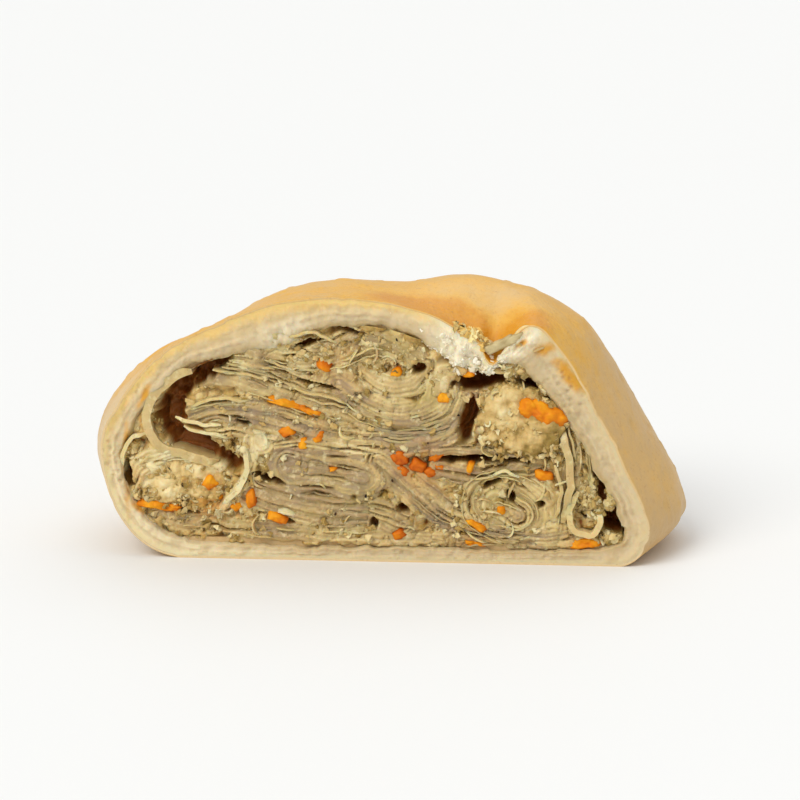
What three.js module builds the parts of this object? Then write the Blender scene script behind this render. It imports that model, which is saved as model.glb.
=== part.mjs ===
// Half of a baked pasty, cut across its middle. A sheet of dough is wrapped round a vegetable
// filling: its two long edges meet in a seam on top, and its end is folded shut.
// Millimetres, +Z up. The cut face looks along -Y, the folded end along +Y, and the flat base
// lies in the plane z = 0. The origin is under the middle of the piece's bounding box.
import * as THREE from "three";

const { lerp, smoothstep } = THREE.MathUtils;

// ---- Driving dimensions --------------------------------------------------------------------

const CUT_WIDTH = 112;
const CUT_HEIGHT = 54;
const LENGTH = 70; // cut face to folded end
const WAIST = 16; // height towards which the closed end draws in

const WALL = { base: 4, left: 4.5, right: 5.8, top: 6.4, end: 6 };
const CLEARANCE = 0.35; // between the dough and the filling
const FACE_INSET = 1; // how far the filling's edge lies behind the dough's cut rim

// The top sinks where the knife opened the seam. The seam runs at x, and the hollow reaches so
// far to its left and right and away from the cut.
const SEAM = { x: 23, sink: 9.5, left: 13, right: 6, back: 12 };

const CROWN = { x: 12, y: 22, width: 14, length: 16, rise: 1.6 }; // low swelling by the seam
const SWELL = { left: 3, right: 7.5, reach: 0.8 }; // how far the sides bulge out behind the cut
const FLAT_SINK = 0.6; // how deep the soft base is pressed flat

// The edge of the folded end: its place as a share of the length, how far it slants, the length
// over which it steps up, and the thickness that the fold adds.
const FOLD = { at: 0.6, slant: 0.05, wave: 18, blend: 0.03, step: 1.8 };
const NUB = { x: 12, z: 13, reach: 4, height: 4, from: 0.7 }; // pinched corner of the fold

// How square the piece stays on its way to the closed end, as powers of a superellipse.
const BLUNTNESS = { plan: 3, above: 2.5, below: 5 };

const AROUND = 72; // facets round the section
const OUTER_STATIONS = 20;
const INNER_STATIONS = 15;
const FACE_RINGS = 12;

// ---- Section -------------------------------------------------------------------------------

// Outline of the section, as shares of half the width and of the height, from the left end of
// the flat base over the top to its right end.
const OUTLINE = [
  [-0.64, 0], [-0.82, 0.05], [-0.93, 0.17], [-0.995, 0.36], [-0.985, 0.48], [-0.905, 0.63],
  [-0.76, 0.785], [-0.55, 0.895], [-0.33, 0.985], [-0.11, 1.01], [0.11, 1.01], [0.3, 1.03],
  [0.48, 1], [0.62, 0.9], [0.71, 0.77], [0.79, 0.63], [0.9, 0.41], [0.975, 0.25], [1, 0.14],
  [0.96, 0.05], [0.86, 0],
];

const outline = sampleOutline();
const outwards = outline.map(outwardNormal);

function sampleOutline() {
  const knots = OUTLINE.map(
    ([x, z]) => new THREE.Vector3((x * CUT_WIDTH) / 2, 0, z * CUT_HEIGHT),
  );
  const curve = new THREE.CatmullRomCurve3(knots, true, "centripetal");
  return curve.getSpacedPoints(AROUND).slice(0, AROUND);
}

function outwardNormal(point, k, points) {
  const before = points[(k + AROUND - 1) % AROUND];
  const after = points[(k + 1) % AROUND];
  return new THREE.Vector3(before.z - after.z, 0, after.x - before.x).normalize();
}

// Thickness of the dough where its outside faces along the normal.
function wallThickness(normal) {
  const side = normal.x < 0 ? WALL.left : WALL.right;
  const upright = normal.z > 0 ? WALL.top : WALL.base;
  return lerp(side, upright, Math.abs(normal.z));
}

// The outline moved in by the wall and a further gap.
function insetOutline(gap) {
  return outline.map((p, k) =>
    p.clone().addScaledVector(outwards[k], -wallThickness(outwards[k]) - gap),
  );
}

// ---- Length --------------------------------------------------------------------------------

const superArc = (t, power) => Math.max(0, 1 - t ** power) ** (1 / power);
const bell = (x, width) => Math.exp(-((x / width) ** 2));

// How far the top sinks into the opened seam at x, a distance y behind the cut.
function seamHollow(x, y) {
  const reach = x < SEAM.x ? SEAM.left : SEAM.right;
  return SEAM.sink * bell(x - SEAM.x, reach) * bell(y, SEAM.back);
}

function crownRise(x, y) {
  return CROWN.rise * bell(x - CROWN.x, CROWN.width) * bell(y - CROWN.y, CROWN.length);
}

// Extra thickness of the folded end: a soft step that follows a slanting edge.
function foldStep(x, t) {
  const edge = FOLD.at + FOLD.slant * Math.sin(x / FOLD.wave);
  return FOLD.step * smoothstep(t, edge - FOLD.blend, edge + FOLD.blend) * superArc(t, 3);
}

// A point of the section, carried a share t of the way to the closed end. The floor is the
// height of the flat underside, which is zero on the outside of the dough.
function loftPoint(sectionPoint, normal, t, length, floor) {
  const y = t * length;
  const upwards = Math.max(0, normal.z);
  const swell = Math.sin(Math.PI * Math.min(1, t / SWELL.reach));
  const side = normal.x > 0 ? SWELL.right : SWELL.left;
  const x = superArc(t, BLUNTNESS.plan) * (sectionPoint.x + side * swell * normal.x);

  const overWaist = sectionPoint.z - WAIST;
  const drawnIn = superArc(t, overWaist > 0 ? BLUNTNESS.above : BLUNTNESS.below);
  let z = WAIST + overWaist * drawnIn;
  z += upwards * (crownRise(x, y) - seamHollow(x, y)) - FLAT_SINK * (1 - upwards);

  const fold = floor === 0 ? foldStep(x, t) : 0;
  return new THREE.Vector3(x + fold * normal.x, y, Math.max(floor, z + fold * upwards));
}

// Rings of points from the cut to just short of the closed end, closer together near the end.
function loftRings(section, stations, length, floor) {
  return Array.from({ length: stations }, (_, s) => {
    const t = Math.sin((Math.PI / 2) * (s / stations) ** 0.9);
    return section.map((p, k) => loftPoint(p, outwards[k], t, length, floor));
  });
}

function endPole(length) {
  return new THREE.Vector3(0, length, WAIST - FLAT_SINK);
}

// The pinched corner stands out from the folded end.
function pinchNub(point) {
  const away = Math.hypot(point.x - NUB.x, point.z - NUB.z);
  if (point.y > LENGTH * NUB.from) point.y += NUB.height * bell(away, NUB.reach);
}

// ---- Filling's cut face --------------------------------------------------------------------

// Hollows between the leaves: place, reach along and across, tilt and depth.
const POCKETS = [
  { x: -37, z: 27, along: 5, across: 9, tilt: 0.3, depth: 7 },
  { x: 21, z: 34, along: 7, across: 4.5, tilt: 0.5, depth: 6 },
  { x: 22, z: 21, along: 9, across: 4, tilt: 0, depth: 4 },
  { x: 43, z: 12, along: 5, across: 5, tilt: 0, depth: 5 },
];

function pocketDepth(x, z, pocket) {
  const c = Math.cos(pocket.tilt);
  const s = Math.sin(pocket.tilt);
  const dx = x - pocket.x;
  const dz = z - pocket.z;
  return pocket.depth * bell(c * dx + s * dz, pocket.along) * bell(c * dz - s * dx, pocket.across);
}

// The cut leaves lie in shallow ridges, with the pockets sunk between them. Both fade out at
// the rim of the face, where the share of the way from its middle reaches 1.
function facePoint(x, z, share) {
  const ridges = 0.5 * Math.sin(z / 3.2 + Math.sin(x / 9)) + 0.3 * Math.sin(x / 4);
  const sunk = POCKETS.reduce((sum, pocket) => sum + pocketDepth(x, z, pocket), 0);
  return new THREE.Vector3(x, FACE_INSET + (1 - share ** 4) * (ridges + sunk), z);
}

// Rings from the middle of the face to just inside its rim, each a smaller copy of the rim.
function faceRings(rim, middle) {
  return Array.from({ length: FACE_RINGS - 1 }, (_, r) => {
    const share = (r + 1) / FACE_RINGS;
    return rim.map((p) =>
      facePoint(lerp(middle.x, p.x, share), lerp(middle.z, p.z, share), share),
    );
  });
}

// ---- Meshes --------------------------------------------------------------------------------

// A closed skin through rings of equal size, from one pole to the other. It faces outwards where
// the rings run from the closed end to the cut. With inward set, they run the other way.
function closedSkin(firstPole, rings, lastPole, inward = false) {
  const points = [firstPole, ...rings.flat(), lastPole];
  const last = points.length - 1;
  const at = (ring, k) => 1 + ring * AROUND + (k % AROUND);
  const corners = [];
  for (let k = 0; k < AROUND; k++) {
    corners.push(0, at(0, k), at(0, k + 1));
    corners.push(last, at(rings.length - 1, k + 1), at(rings.length - 1, k));
    for (let r = 0; r + 1 < rings.length; r++) {
      corners.push(at(r, k), at(r + 1, k), at(r + 1, k + 1));
      corners.push(at(r, k), at(r + 1, k + 1), at(r, k + 1));
    }
  }
  if (inward) corners.reverse();
  const geometry = new THREE.BufferGeometry().setFromPoints(points);
  geometry.setIndex(corners);
  geometry.computeVertexNormals();
  return geometry;
}

function crustGeometry() {
  const innerLength = LENGTH - WALL.end;
  const outer = loftRings(outline, OUTER_STATIONS, LENGTH, 0);
  const inner = loftRings(insetOutline(0), INNER_STATIONS, innerLength, WALL.base);
  outer.flat().forEach(pinchNub);
  return closedSkin(endPole(LENGTH), [...outer.reverse(), ...inner], endPole(innerLength));
}

function fillingGeometry() {
  const length = LENGTH - WALL.end - CLEARANCE * 2;
  const floor = WALL.base + CLEARANCE;
  const body = loftRings(insetOutline(CLEARANCE), INNER_STATIONS, length, floor);
  body[0].forEach((p) => {
    p.y = FACE_INSET;
  });
  const middle = new THREE.Vector3(0, 0, CUT_HEIGHT * 0.45);
  return closedSkin(
    facePoint(middle.x, middle.z, 0),
    [...faceRings(body[0], middle), ...body],
    endPole(length),
    true,
  );
}

const bakedDough = new THREE.MeshStandardMaterial({
  color: 0xd9ad72,
  roughness: 0.62,
  metalness: 0,
});
const cookedVegetables = new THREE.MeshStandardMaterial({
  color: 0xc9b98c,
  roughness: 0.55,
  metalness: 0,
});

const pasty = new THREE.Group();
for (const [name, geometry, material] of [
  ["crust", crustGeometry(), bakedDough],
  ["filling", fillingGeometry(), cookedVegetables],
]) {
  const mesh = new THREE.Mesh(geometry, material);
  mesh.name = name;
  pasty.add(mesh);
}

const middle = new THREE.Box3().setFromObject(pasty).getCenter(new THREE.Vector3());
pasty.position.set(-middle.x, -middle.y, 0);

export default pasty;
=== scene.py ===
# %% [markdown]
# # Half of a baked pasty, cut across
#
# A sheet of dough is wrapped round a filling of cooked cabbage leaves, carrot and mince. Its long
# edges meet in a seam on top and its end is folded shut. The knife cut shows everything inside.
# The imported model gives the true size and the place. This file makes what the eye sees: the
# browned skin, the cream dough of the cut, the layered leaves, the carrot and the crumbs.
#
# All shapes are worked out in millimetres in the "section frame": x runs along the cut face from
# its middle, y runs back from the cut, and z is up from the base. One helper moves the finished
# points into the model's place and turns them into metres.

import itertools
import math

import bpy
import numpy as np
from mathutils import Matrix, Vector


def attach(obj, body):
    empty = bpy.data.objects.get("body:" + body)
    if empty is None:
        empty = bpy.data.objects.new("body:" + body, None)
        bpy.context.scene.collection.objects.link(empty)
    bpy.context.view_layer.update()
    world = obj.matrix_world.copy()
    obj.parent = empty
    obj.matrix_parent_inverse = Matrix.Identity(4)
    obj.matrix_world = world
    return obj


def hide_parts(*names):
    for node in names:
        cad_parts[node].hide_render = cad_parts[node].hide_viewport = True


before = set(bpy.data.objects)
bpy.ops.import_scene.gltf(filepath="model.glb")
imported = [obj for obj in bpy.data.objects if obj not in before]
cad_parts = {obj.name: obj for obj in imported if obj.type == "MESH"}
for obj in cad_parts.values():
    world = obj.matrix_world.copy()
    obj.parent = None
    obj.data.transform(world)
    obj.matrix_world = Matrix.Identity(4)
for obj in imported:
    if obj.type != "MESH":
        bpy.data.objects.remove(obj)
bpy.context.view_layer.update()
BODY = "root"
MM = 0.001

# %% [markdown]
# ## Uneven by rule
#
# Nothing in food is straight, so almost every surface here is shaped by noise. A lattice of
# random numbers, smoothly blended, gives the same bumps on each run. Three helpers are enough:
# smooth noise, rough noise made of several sizes of bump, and cells for lumps and pores.

# %% Smooth and rough noise
LATTICE_SIZE = 32
LATTICE = np.random.default_rng(11).random((LATTICE_SIZE,) * 3)
print("noise from", LATTICE.size, "random numbers")


def noise(points, size, seed=0):
    """Smooth noise from 0 to 1, with bumps about size millimetres apart."""
    p = np.asarray(points, float) / size + seed * 7.31
    cell = np.floor(p).astype(int)
    f = p - cell
    f = f * f * (3 - 2 * f)
    total = np.zeros(p.shape[:-1])
    for corner in itertools.product((0, 1), repeat=3):
        weight = np.prod(np.where(corner, f, 1 - f), axis=-1)
        i = (cell + corner) % LATTICE_SIZE
        total += weight * LATTICE[i[..., 0], i[..., 1], i[..., 2]]
    return total


def rough(points, size, octaves=3, seed=0):
    """Noise from about -1 to 1 made of bumps of size, half of size, and so on."""
    layers = [(2 * noise(points, size / 2**k, seed + k) - 1) / 2**k for k in range(octaves)]
    return sum(layers)


def flat(x, z, y=0.0):
    """Points of the cut plane, for the noise helpers."""
    x, z = np.broadcast_arrays(x, z)
    return np.stack([x, np.full(x.shape, float(y)), z], axis=-1)


# %% Cells, for lumps and pores
FAR = 9.0  # more than any share of a cell or of a bundle


def cells(x, z, size, seed=0):
    """Distance to the nearest of scattered points, as a share of size, and its own number."""
    nearest, own = np.full(x.shape, FAR), np.zeros(x.shape)
    cx, cz = np.floor(x / size).astype(int), np.floor(z / size).astype(int)
    for dx, dz in itertools.product((-1, 0, 1), repeat=2):
        column = LATTICE[(cx + dx) % LATTICE_SIZE, (cz + dz) % LATTICE_SIZE]
        away = np.hypot(
            x / size - cx - dx - column[..., seed % LATTICE_SIZE],
            z / size - cz - dz - column[..., (seed + 1) % LATTICE_SIZE],
        )
        own = np.where(away < nearest, column[..., (seed + 2) % LATTICE_SIZE], own)
        nearest = np.minimum(nearest, away)
    return nearest, own


sample = cells(np.array([3.0, 3.1, 16.0]), np.array([5.0, 5.0, 5.0]), 2.0)
print("two neighbours share a cell's number, a far point does not:", sample[1].round(2))


# %% Soft steps, bells and ovals
def smoothstep(x, low, high):
    """0 below low, 1 above high, and a soft step between them."""
    f = np.clip((x - low) / (high - low), 0, 1)
    return f * f * (3 - 2 * f)


def bell(x, width):
    """1 in the middle, fading to both sides."""
    return np.exp(-((x / width) ** 2))


def oval(x, z, middle_x, middle_z, half_length, half_width, tilt):
    """How far out in a tilted oval each point is: 0 in its middle, 1 on its edge."""
    c, s = math.cos(math.radians(tilt)), math.sin(math.radians(tilt))
    along = (c * (x - middle_x) + s * (z - middle_z)) / half_length
    over = (c * (z - middle_z) - s * (x - middle_x)) / half_width
    return np.hypot(along, over)


print("a soft step on its way:", smoothstep(np.linspace(0, 1, 5), 0, 1).round(2))

# %% [markdown]
# ## A smooth line through a few knots
#
# The outline of the cut, and later every leaf, is drawn with a few knots and a smooth curve
# through them. A centripetal Catmull-Rom curve passes through each knot without overshooting,
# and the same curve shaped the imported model, so the two agree.

# %% Curves through knots
def smooth_line(knots, step, closed=False):
    """Points about step apart on the smooth curve through the knots."""
    knots = np.asarray(knots, float)
    if closed:
        guides = np.vstack([knots[-1:], knots, knots[:2]])
    else:
        guides = np.vstack([2 * knots[0] - knots[1], knots, 2 * knots[-1] - knots[-2]])
    pieces = []
    for p0, p1, p2, p3 in zip(guides, guides[1:], guides[2:], guides[3:]):
        t1 = np.linalg.norm(p1 - p0) ** 0.5
        t2 = t1 + np.linalg.norm(p2 - p1) ** 0.5
        t3 = t2 + np.linalg.norm(p3 - p2) ** 0.5
        t = np.linspace(t1, t2, 24, endpoint=False)[:, None]
        a1 = (t1 - t) / t1 * p0 + t / t1 * p1
        a2 = (t2 - t) / (t2 - t1) * p1 + (t - t1) / (t2 - t1) * p2
        a3 = (t3 - t) / (t3 - t2) * p2 + (t - t2) / (t3 - t2) * p3
        b1 = (t2 - t) / t2 * a1 + t / t2 * a2
        b2 = (t3 - t) / (t3 - t1) * a2 + (t - t1) / (t3 - t1) * a3
        pieces.append((t2 - t) / (t2 - t1) * b1 + (t - t1) / (t2 - t1) * b2)
    pieces.append(knots[:1] if closed else knots[-1:])
    curve = np.vstack(pieces)
    along = np.concatenate([[0], np.cumsum(np.linalg.norm(np.diff(curve, axis=0), axis=1))])
    count = max(4, round(along[-1] / step))
    wanted = np.linspace(0, along[-1], count + 1)
    if closed:
        wanted = wanted[:-1]
    return np.stack([np.interp(wanted, along, curve[:, i]) for i in (0, 1)], axis=1)


def side_normals(line, closed=False):
    """Unit vectors across a line, pointing to its left."""
    if closed:
        along = np.roll(line, -1, axis=0) - np.roll(line, 1, axis=0)
    else:
        along = np.gradient(line, axis=0)
    along /= np.linalg.norm(along, axis=1, keepdims=True)
    return np.stack([-along[:, 1], along[:, 0]], axis=1)


square = smooth_line([(0, 0), (10, 0), (10, 10), (0, 10)], 1.0, closed=True)
print("four knots 10 mm apart make a round of", len(square), "points")

# %% [markdown]
# ## The shape of the half
#
# The section is carried back to a blunt closed end. These are the same rules and sizes as in the
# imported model, so the skin made here lies on the model's own surface. On top of them the skin
# gets what a coarse model leaves out: the knife's notch where the seam opened, soft undulations,
# the pale creases of the folded end, and dimples.

# %% Sizes of the half, in millimetres
CUT_WIDTH, CUT_HEIGHT, LENGTH, WAIST = 112, 54, 70, 16
WALL = {"base": 4, "left": 4.5, "right": 5.8, "top": 6.4, "end": 6}
SEAM = {"x": 23, "sink": 9.5, "left": 13, "right": 6, "back": 12}
CROWN = {"x": 12, "y": 22, "width": 14, "length": 16, "rise": 1.6}
SWELL = {"left": 3, "right": 7.5, "reach": 0.8}
FLAT_SINK = 0.6
FOLD = {"at": 0.6, "slant": 0.05, "wave": 18, "blend": 0.03, "step": 1.8}
NUB = {"x": 12, "z": 13, "reach": 4, "height": 4, "from": 0.7}
BLUNTNESS = {"plan": 3, "above": 2.5, "below": 5}
OUTLINE = [
    (-0.64, 0), (-0.82, 0.05), (-0.93, 0.17), (-0.995, 0.36), (-0.985, 0.48), (-0.905, 0.63),
    (-0.76, 0.785), (-0.55, 0.895), (-0.33, 0.985), (-0.11, 1.01), (0.11, 1.01), (0.3, 1.03),
    (0.48, 1), (0.62, 0.9), (0.71, 0.77), (0.79, 0.63), (0.9, 0.41), (0.975, 0.25), (1, 0.14),
    (0.96, 0.05), (0.86, 0),
]
print("cut face", CUT_WIDTH, "by", CUT_HEIGHT, "mm, drawn with", len(OUTLINE), "knots")


# %% Carry the section back to the closed end
def section(step):
    """The outline and its outward normals, with points about step apart."""
    line = smooth_line(np.array(OUTLINE) * (CUT_WIDTH / 2, CUT_HEIGHT), step, closed=True)
    return line, side_normals(line, closed=True)


def wall_thickness(normal):
    """Thickness of the dough by the way its outside faces."""
    side = np.where(normal[:, 0] < 0, WALL["left"], WALL["right"])
    upright = np.where(normal[:, 1] > 0, WALL["top"], WALL["base"])
    share = np.abs(normal[:, 1])
    return side * (1 - share) + upright * share


def super_arc(t, power):
    """1 at the cut, falling to 0 at the closed end; a higher power makes the end blunter."""
    return np.maximum(0, 1 - t**power) ** (1 / power)


def seam_hollow(x, y):
    """How deep the top sinks along the seam."""
    reach = np.where(x < SEAM["x"], SEAM["left"], SEAM["right"])
    return SEAM["sink"] * bell(x - SEAM["x"], reach) * bell(y, SEAM["back"])


def fold_edge(x):
    """Share of the length at which the folded end begins."""
    return FOLD["at"] + FOLD["slant"] * np.sin(x / FOLD["wave"])


def fold_step(x, t):
    """How far the folded end stands out."""
    edge = fold_edge(x)
    step = smoothstep(t, edge - FOLD["blend"], edge + FOLD["blend"])
    return FOLD["step"] * step * super_arc(t, 3)


def loft(line, normal, t, length, floor):
    """Points of the section's line at each share t of the way back: an array [t, point, xyz]."""
    t = np.asarray(t, float)[:, None]
    y = t * length + 0 * line[:, 0]
    up = np.maximum(0, normal[:, 1])
    swell = np.sin(np.pi * np.minimum(1, t / SWELL["reach"]))
    side = np.where(normal[:, 0] > 0, SWELL["right"], SWELL["left"])
    x = super_arc(t, BLUNTNESS["plan"]) * (line[:, 0] + side * swell * normal[:, 0])
    over = line[:, 1] - WAIST
    drawn_in = np.where(
        over > 0, super_arc(t, BLUNTNESS["above"]), super_arc(t, BLUNTNESS["below"])
    )
    crown = CROWN["rise"] * bell(x - CROWN["x"], CROWN["width"])
    crown = crown * bell(y - CROWN["y"], CROWN["length"])
    z = WAIST + over * drawn_in + up * (crown - seam_hollow(x, y)) - FLAT_SINK * (1 - up)
    fold = fold_step(x, t) if floor == 0 else 0 * x
    return np.stack([x + fold * normal[:, 0], y, np.maximum(floor, z + fold * up)], axis=-1)


heights = loft(*section(2), [0, 0.5, 0.9], LENGTH, 0)[..., 2].max(axis=1)
print("height at the cut, half way and near the end:", heights.round(1), "mm")

# %% [markdown]
# ## From points to a piece
#
# Every piece made in Python goes through one function. It moves the points into the model's
# place, turns millimetres into metres, stores the painted values as attributes for the material,
# and makes sure that the faces point outwards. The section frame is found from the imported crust:
# the vertices with the smallest y are its cut rim.

# %% Place the section frame in the model
rim_line, _ = section(0.5)
cad_points = np.array([v.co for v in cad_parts["crust"].data.vertices]) / MM
cut_y = cad_points[:, 1].min()
cad_rim = cad_points[cad_points[:, 1] < cut_y + 0.01]
middle_x = (cad_rim[:, 0].min() + cad_rim[:, 0].max()) / 2
middle_x -= (rim_line[:, 0].min() + rim_line[:, 0].max()) / 2
SHIFT = np.array([middle_x, cut_y, 0.0])
print("section frame starts at", SHIFT.round(2), "mm")


def place(points):
    """Section-frame millimetres to the model's metres."""
    return (np.asarray(points, float) + SHIFT) * MM


# %% Faces between rows of points
def grid_faces(rows, columns, wrap=True):
    """Four-sided faces between rows of points; with wrap each row closes on itself."""
    last = columns if wrap else columns - 1
    r, c = np.meshgrid(np.arange(rows - 1), np.arange(last), indexing="ij")
    a, b = r * columns + c, r * columns + (c + 1) % columns
    return np.stack([a, b, b + columns, a + columns], axis=-1).reshape(-1, 4)


def cap_faces(ring_start, columns, pole):
    """Triangles from a ring of points to one pole."""
    c = np.arange(columns)
    ring = ring_start + np.stack([c, (c + 1) % columns], axis=1)
    return [(int(a), int(b), pole) for a, b in ring]


print("three closed rows of four points have", len(grid_faces(3, 4)), "faces between them")


# %% Make a piece from arrays
def turn_outwards(mesh):
    """Turns the faces round if they enclose a negative volume."""
    count = len(mesh.loop_triangles)
    corners = np.empty(count * 3, np.int32)
    mesh.loop_triangles.foreach_get("vertices", corners)
    co = np.empty(len(mesh.vertices) * 3)
    mesh.vertices.foreach_get("co", co)
    a, b, c = (co.reshape(-1, 3)[corners.reshape(-1, 3)[:, i]] for i in range(3))
    if np.einsum("ij,ij->", a, np.cross(b, c)) < 0:
        mesh.flip_normals()


def add_object(name, data):
    """An object in the scene, at the origin and unturned."""
    added = bpy.data.objects.new(name, data)
    bpy.context.scene.collection.objects.link(added)
    return added


def paint(mesh, key, values, kind="FLOAT"):
    """Stores a value on each point, or a vector if the kind says so."""
    field = "value" if kind == "FLOAT" else "vector"
    layer = mesh.attributes.new(key, kind, "POINT")
    layer.data.foreach_set(field, np.asarray(values, np.float32).ravel())


def tell(piece):
    """Prints how large a piece is and hands it back."""
    mesh = piece.data
    print(f"{piece.name}: {len(mesh.vertices)} points, {len(mesh.loop_triangles)} triangles")
    return piece


def make_piece(name, points, faces, painted):
    """A mesh object from section-frame points, with painted values stored on its points."""
    mesh = bpy.data.meshes.new(name)
    mesh.from_pydata(place(points), [], [tuple(int(i) for i in f) for f in faces])
    for key, values in painted.items():
        paint(mesh, key, values)
    mesh.calc_loop_triangles()
    turn_outwards(mesh)
    mesh.shade_smooth()
    return tell(add_object(name, mesh))


def sharpen(piece, degrees):
    """Keeps the edges sharp that fold more than so many degrees, such as a knife's cut."""
    piece.data.set_sharp_from_angle(angle=math.radians(degrees))


# %% [markdown]
# ## The browned skin
#
# The skin is one closed shell: outside from the closed end to the cut, a thin front edge, a step
# back in which the cream dough of the cut will sit, and a plain inside. The front edge of the
# skin is what shows as a thin golden line round the cut. The outside is moved along its own
# normals by noise, so that it swells and dimples as baked dough does.

# %% Rows and columns of the skin
SKIN = 0.5  # thickness of the browned skin at the cut
REBATE = 2.0  # how far back the dough of the cut reaches into the shell
AROUND_STEP = 0.62
OUTSIDE_ROWS = 150
around, around_normal = section(AROUND_STEP)
COLUMNS = len(around)
print(COLUMNS, "columns round the section,", OUTSIDE_ROWS, "rows to the closed end")

# %% Where the top gives way
# The knife's notch in the seam: place along x, reach to the left, reach to the right, drop.
NOTCH = [(22.8, 0.9, 1.6, 2.6), (24.6, 1.6, 5.5, 3.6)]
NOTCH_BACK = 6.5
# Where the top falls away behind the cut: place along x, width, by how much.
FALLS_AWAY = [(-37, 13, 3.1), (6, 9, 1.3)]


def knife_notch(x, y):
    """Where the knife pulled the seam open, the flap on the right falls away from the top sheet."""
    drop = sum(fall * bell(x - at, np.where(x < at, left, right)) for at, left, right, fall in NOTCH)
    return drop * bell(y, NOTCH_BACK)


def falling_top(x, y):
    """How far the top sinks once it is clear of the cut."""
    amount = sum(fall * bell(x - at, width) for at, width, fall in FALLS_AWAY)
    return amount * smoothstep(y, 0, 15)


print("deepest notch:", knife_notch(np.arange(0, 40, 0.1), 0).max().round(1), "mm")


# %% Normals, rows and creases
NO_LENGTH = 1e-9  # keeps a folded-up face from dividing by zero


def surface_normals(grid):
    """Unit normals of a grid of points whose rows close on themselves."""
    down = np.gradient(grid, axis=0)
    across = np.roll(grid, -1, axis=1) - np.roll(grid, 1, axis=1)
    normal = np.cross(across, down)
    length = np.linalg.norm(normal, axis=-1, keepdims=True)
    return normal / np.maximum(length, NO_LENGTH)


def outside_shares(rows):
    """Shares of the length, closer together at the closed end."""
    return np.sin(np.pi / 2 * (np.arange(rows) / rows) ** 0.9)


def crease_masks(x, t, side):
    """Pale raised lines: the edge of the folded end, and a shorter one behind it."""
    edge = fold_edge(x)
    main = bell(t - edge - 0.006 * side, 0.008 + 0.005 * side)
    second = bell(t - edge - 0.13 - 0.03 * side, 0.008)
    return main, second


# %% Lay out the outside
shares = outside_shares(OUTSIDE_ROWS)
outside = loft(around, around_normal, shares, LENGTH, 0)
top_side = np.maximum(0, around_normal[:, 1])
outside[..., 2] -= top_side * knife_notch(outside[..., 0], outside[..., 1])
outside[..., 2] -= (
    top_side * falling_top(outside[..., 0], outside[..., 1]) * smoothstep(outside[..., 2], 16, 34)
)

# The normals of the outside should point the way that the section's own normals do.
flat_normal = np.insert(around_normal, 1, 0, axis=1)
out_normal = surface_normals(outside)
if (out_normal[0] * flat_normal).sum() < 0:
    out_normal = -out_normal
up = out_normal[..., 2]
on_base = smoothstep(-up, 0.3, 0.8)
print("outside laid out:", outside.shape[:2], "highest", outside[..., 2].max().round(1), "mm")

# %% Swell it, dimple it and crease it
SWELLING = [(0.8, 24, 2, 1), (0.22, 7, 3, 4)]  # height, size of the bumps, how many sizes, seed
DIMPLE, BLISTER, CREASE = 0.35, 0.22, 0.22  # how deep or high
swelling = sum(height * rough(outside, *bumps) for height, *bumps in SWELLING)
dimples = -DIMPLE * smoothstep(noise(outside, 3.4, 9), 0.72, 0.95)
main_crease, second_crease = crease_masks(
    outside[..., 0], shares[:, None], rough(outside, 9, 2, 12)
)
broken = smoothstep(noise(outside, 6, 15), 0.3, 0.7)
short = smoothstep(outside[..., 2], 12, 20) * smoothstep(outside[..., 0], 10, 30)
crease = main_crease * broken * (1 - on_base) + second_crease * short * broken
crease *= smoothstep(outside[..., 1], 20, 30)
blister = BLISTER * smoothstep(noise(outside, 2.6, 17), 0.74, 0.92)
move = (swelling + dimples + blister) * (1 - on_base) + CREASE * crease
# The low part of the left side stays pale close behind the cut.
pale_side = smoothstep(-outside[..., 0], 44, 54) * (1 - smoothstep(outside[..., 1], 1, 14))
outside = outside + out_normal * move[..., None]
print("moved by", move.min().round(2), "to", move.max().round(2), "mm, crease", crease.max().round(2))

# %% Pinch the tip of the closed end
NUB_STRETCH = 1.6  # wider than it is high
nub_away = np.hypot((outside[..., 0] - NUB["x"]) / NUB_STRETCH, outside[..., 2] - NUB["z"])
nub_away = nub_away / NUB["reach"] + 0.15 * rough(outside, 3, 2, 18)
near_tip = outside[..., 1] > LENGTH * NUB["from"]
pinched = 0.9 * NUB["height"] * np.exp(-(np.abs(nub_away) ** 3)) * near_tip
outside[..., 1] += pinched
outside[..., 2] = np.maximum(outside[..., 2], 0)
print("tip at", outside[..., 1].max().round(1), "mm")

# %% [markdown]
# How brown the skin is follows from how it faces: the top is golden and browner beside the seam,
# the sides are paler, and the foot is palest. A paler patch on the bump beside the seam is a
# painted highlight. The value is painted on the points, and the material turns it into colour.

# %% Paint how brown the skin is
# How much each part adds to the bake, from 0 for raw to 1 for brown; bump is a painted highlight.
BAKE = {
    "sides": 0.28, "top": 0.38, "seam": 1.0, "bump": -0.12, "blotches": 0.12, "foot": -0.13,
    "base": 0.25, "tip": 0.3, "low left": -0.2,
}
x, y, z = outside[..., 0], outside[..., 1], outside[..., 2]
wander = 3 * rough(outside, 7, 2, 22)
behind_cut = 1 - smoothstep(y + 0.4 * wander, 3, 11)
by_seam = bell(x - 19 + wander, 14) * behind_cut * smoothstep(up, 0, 0.5)
# A painted highlight on the bump beside the seam: it lowers the bake and is added to the pale crease
# colour.
bump = bell(x - 20 + wander, 12) * bell(y - 12, 4.5) * smoothstep(up, 0.2, 0.8)
foot = (1 - smoothstep(z, 1, 16)) * (1 - on_base)
bake = BAKE["sides"] + BAKE["top"] * smoothstep(up, 0.05, 0.85)
bake += BAKE["seam"] * by_seam
bake += BAKE["bump"] * bump
bake += BAKE["blotches"] * rough(outside, 18, 4, 21)
bake += BAKE["foot"] * foot
bake += BAKE["base"] * on_base
bake += BAKE["tip"] * pinched / NUB["height"]
bake = np.clip(bake + BAKE["low left"] * pale_side, 0, 1)
print("how brown: from", bake.min().round(2), "to", bake.max().round(2))


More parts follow.
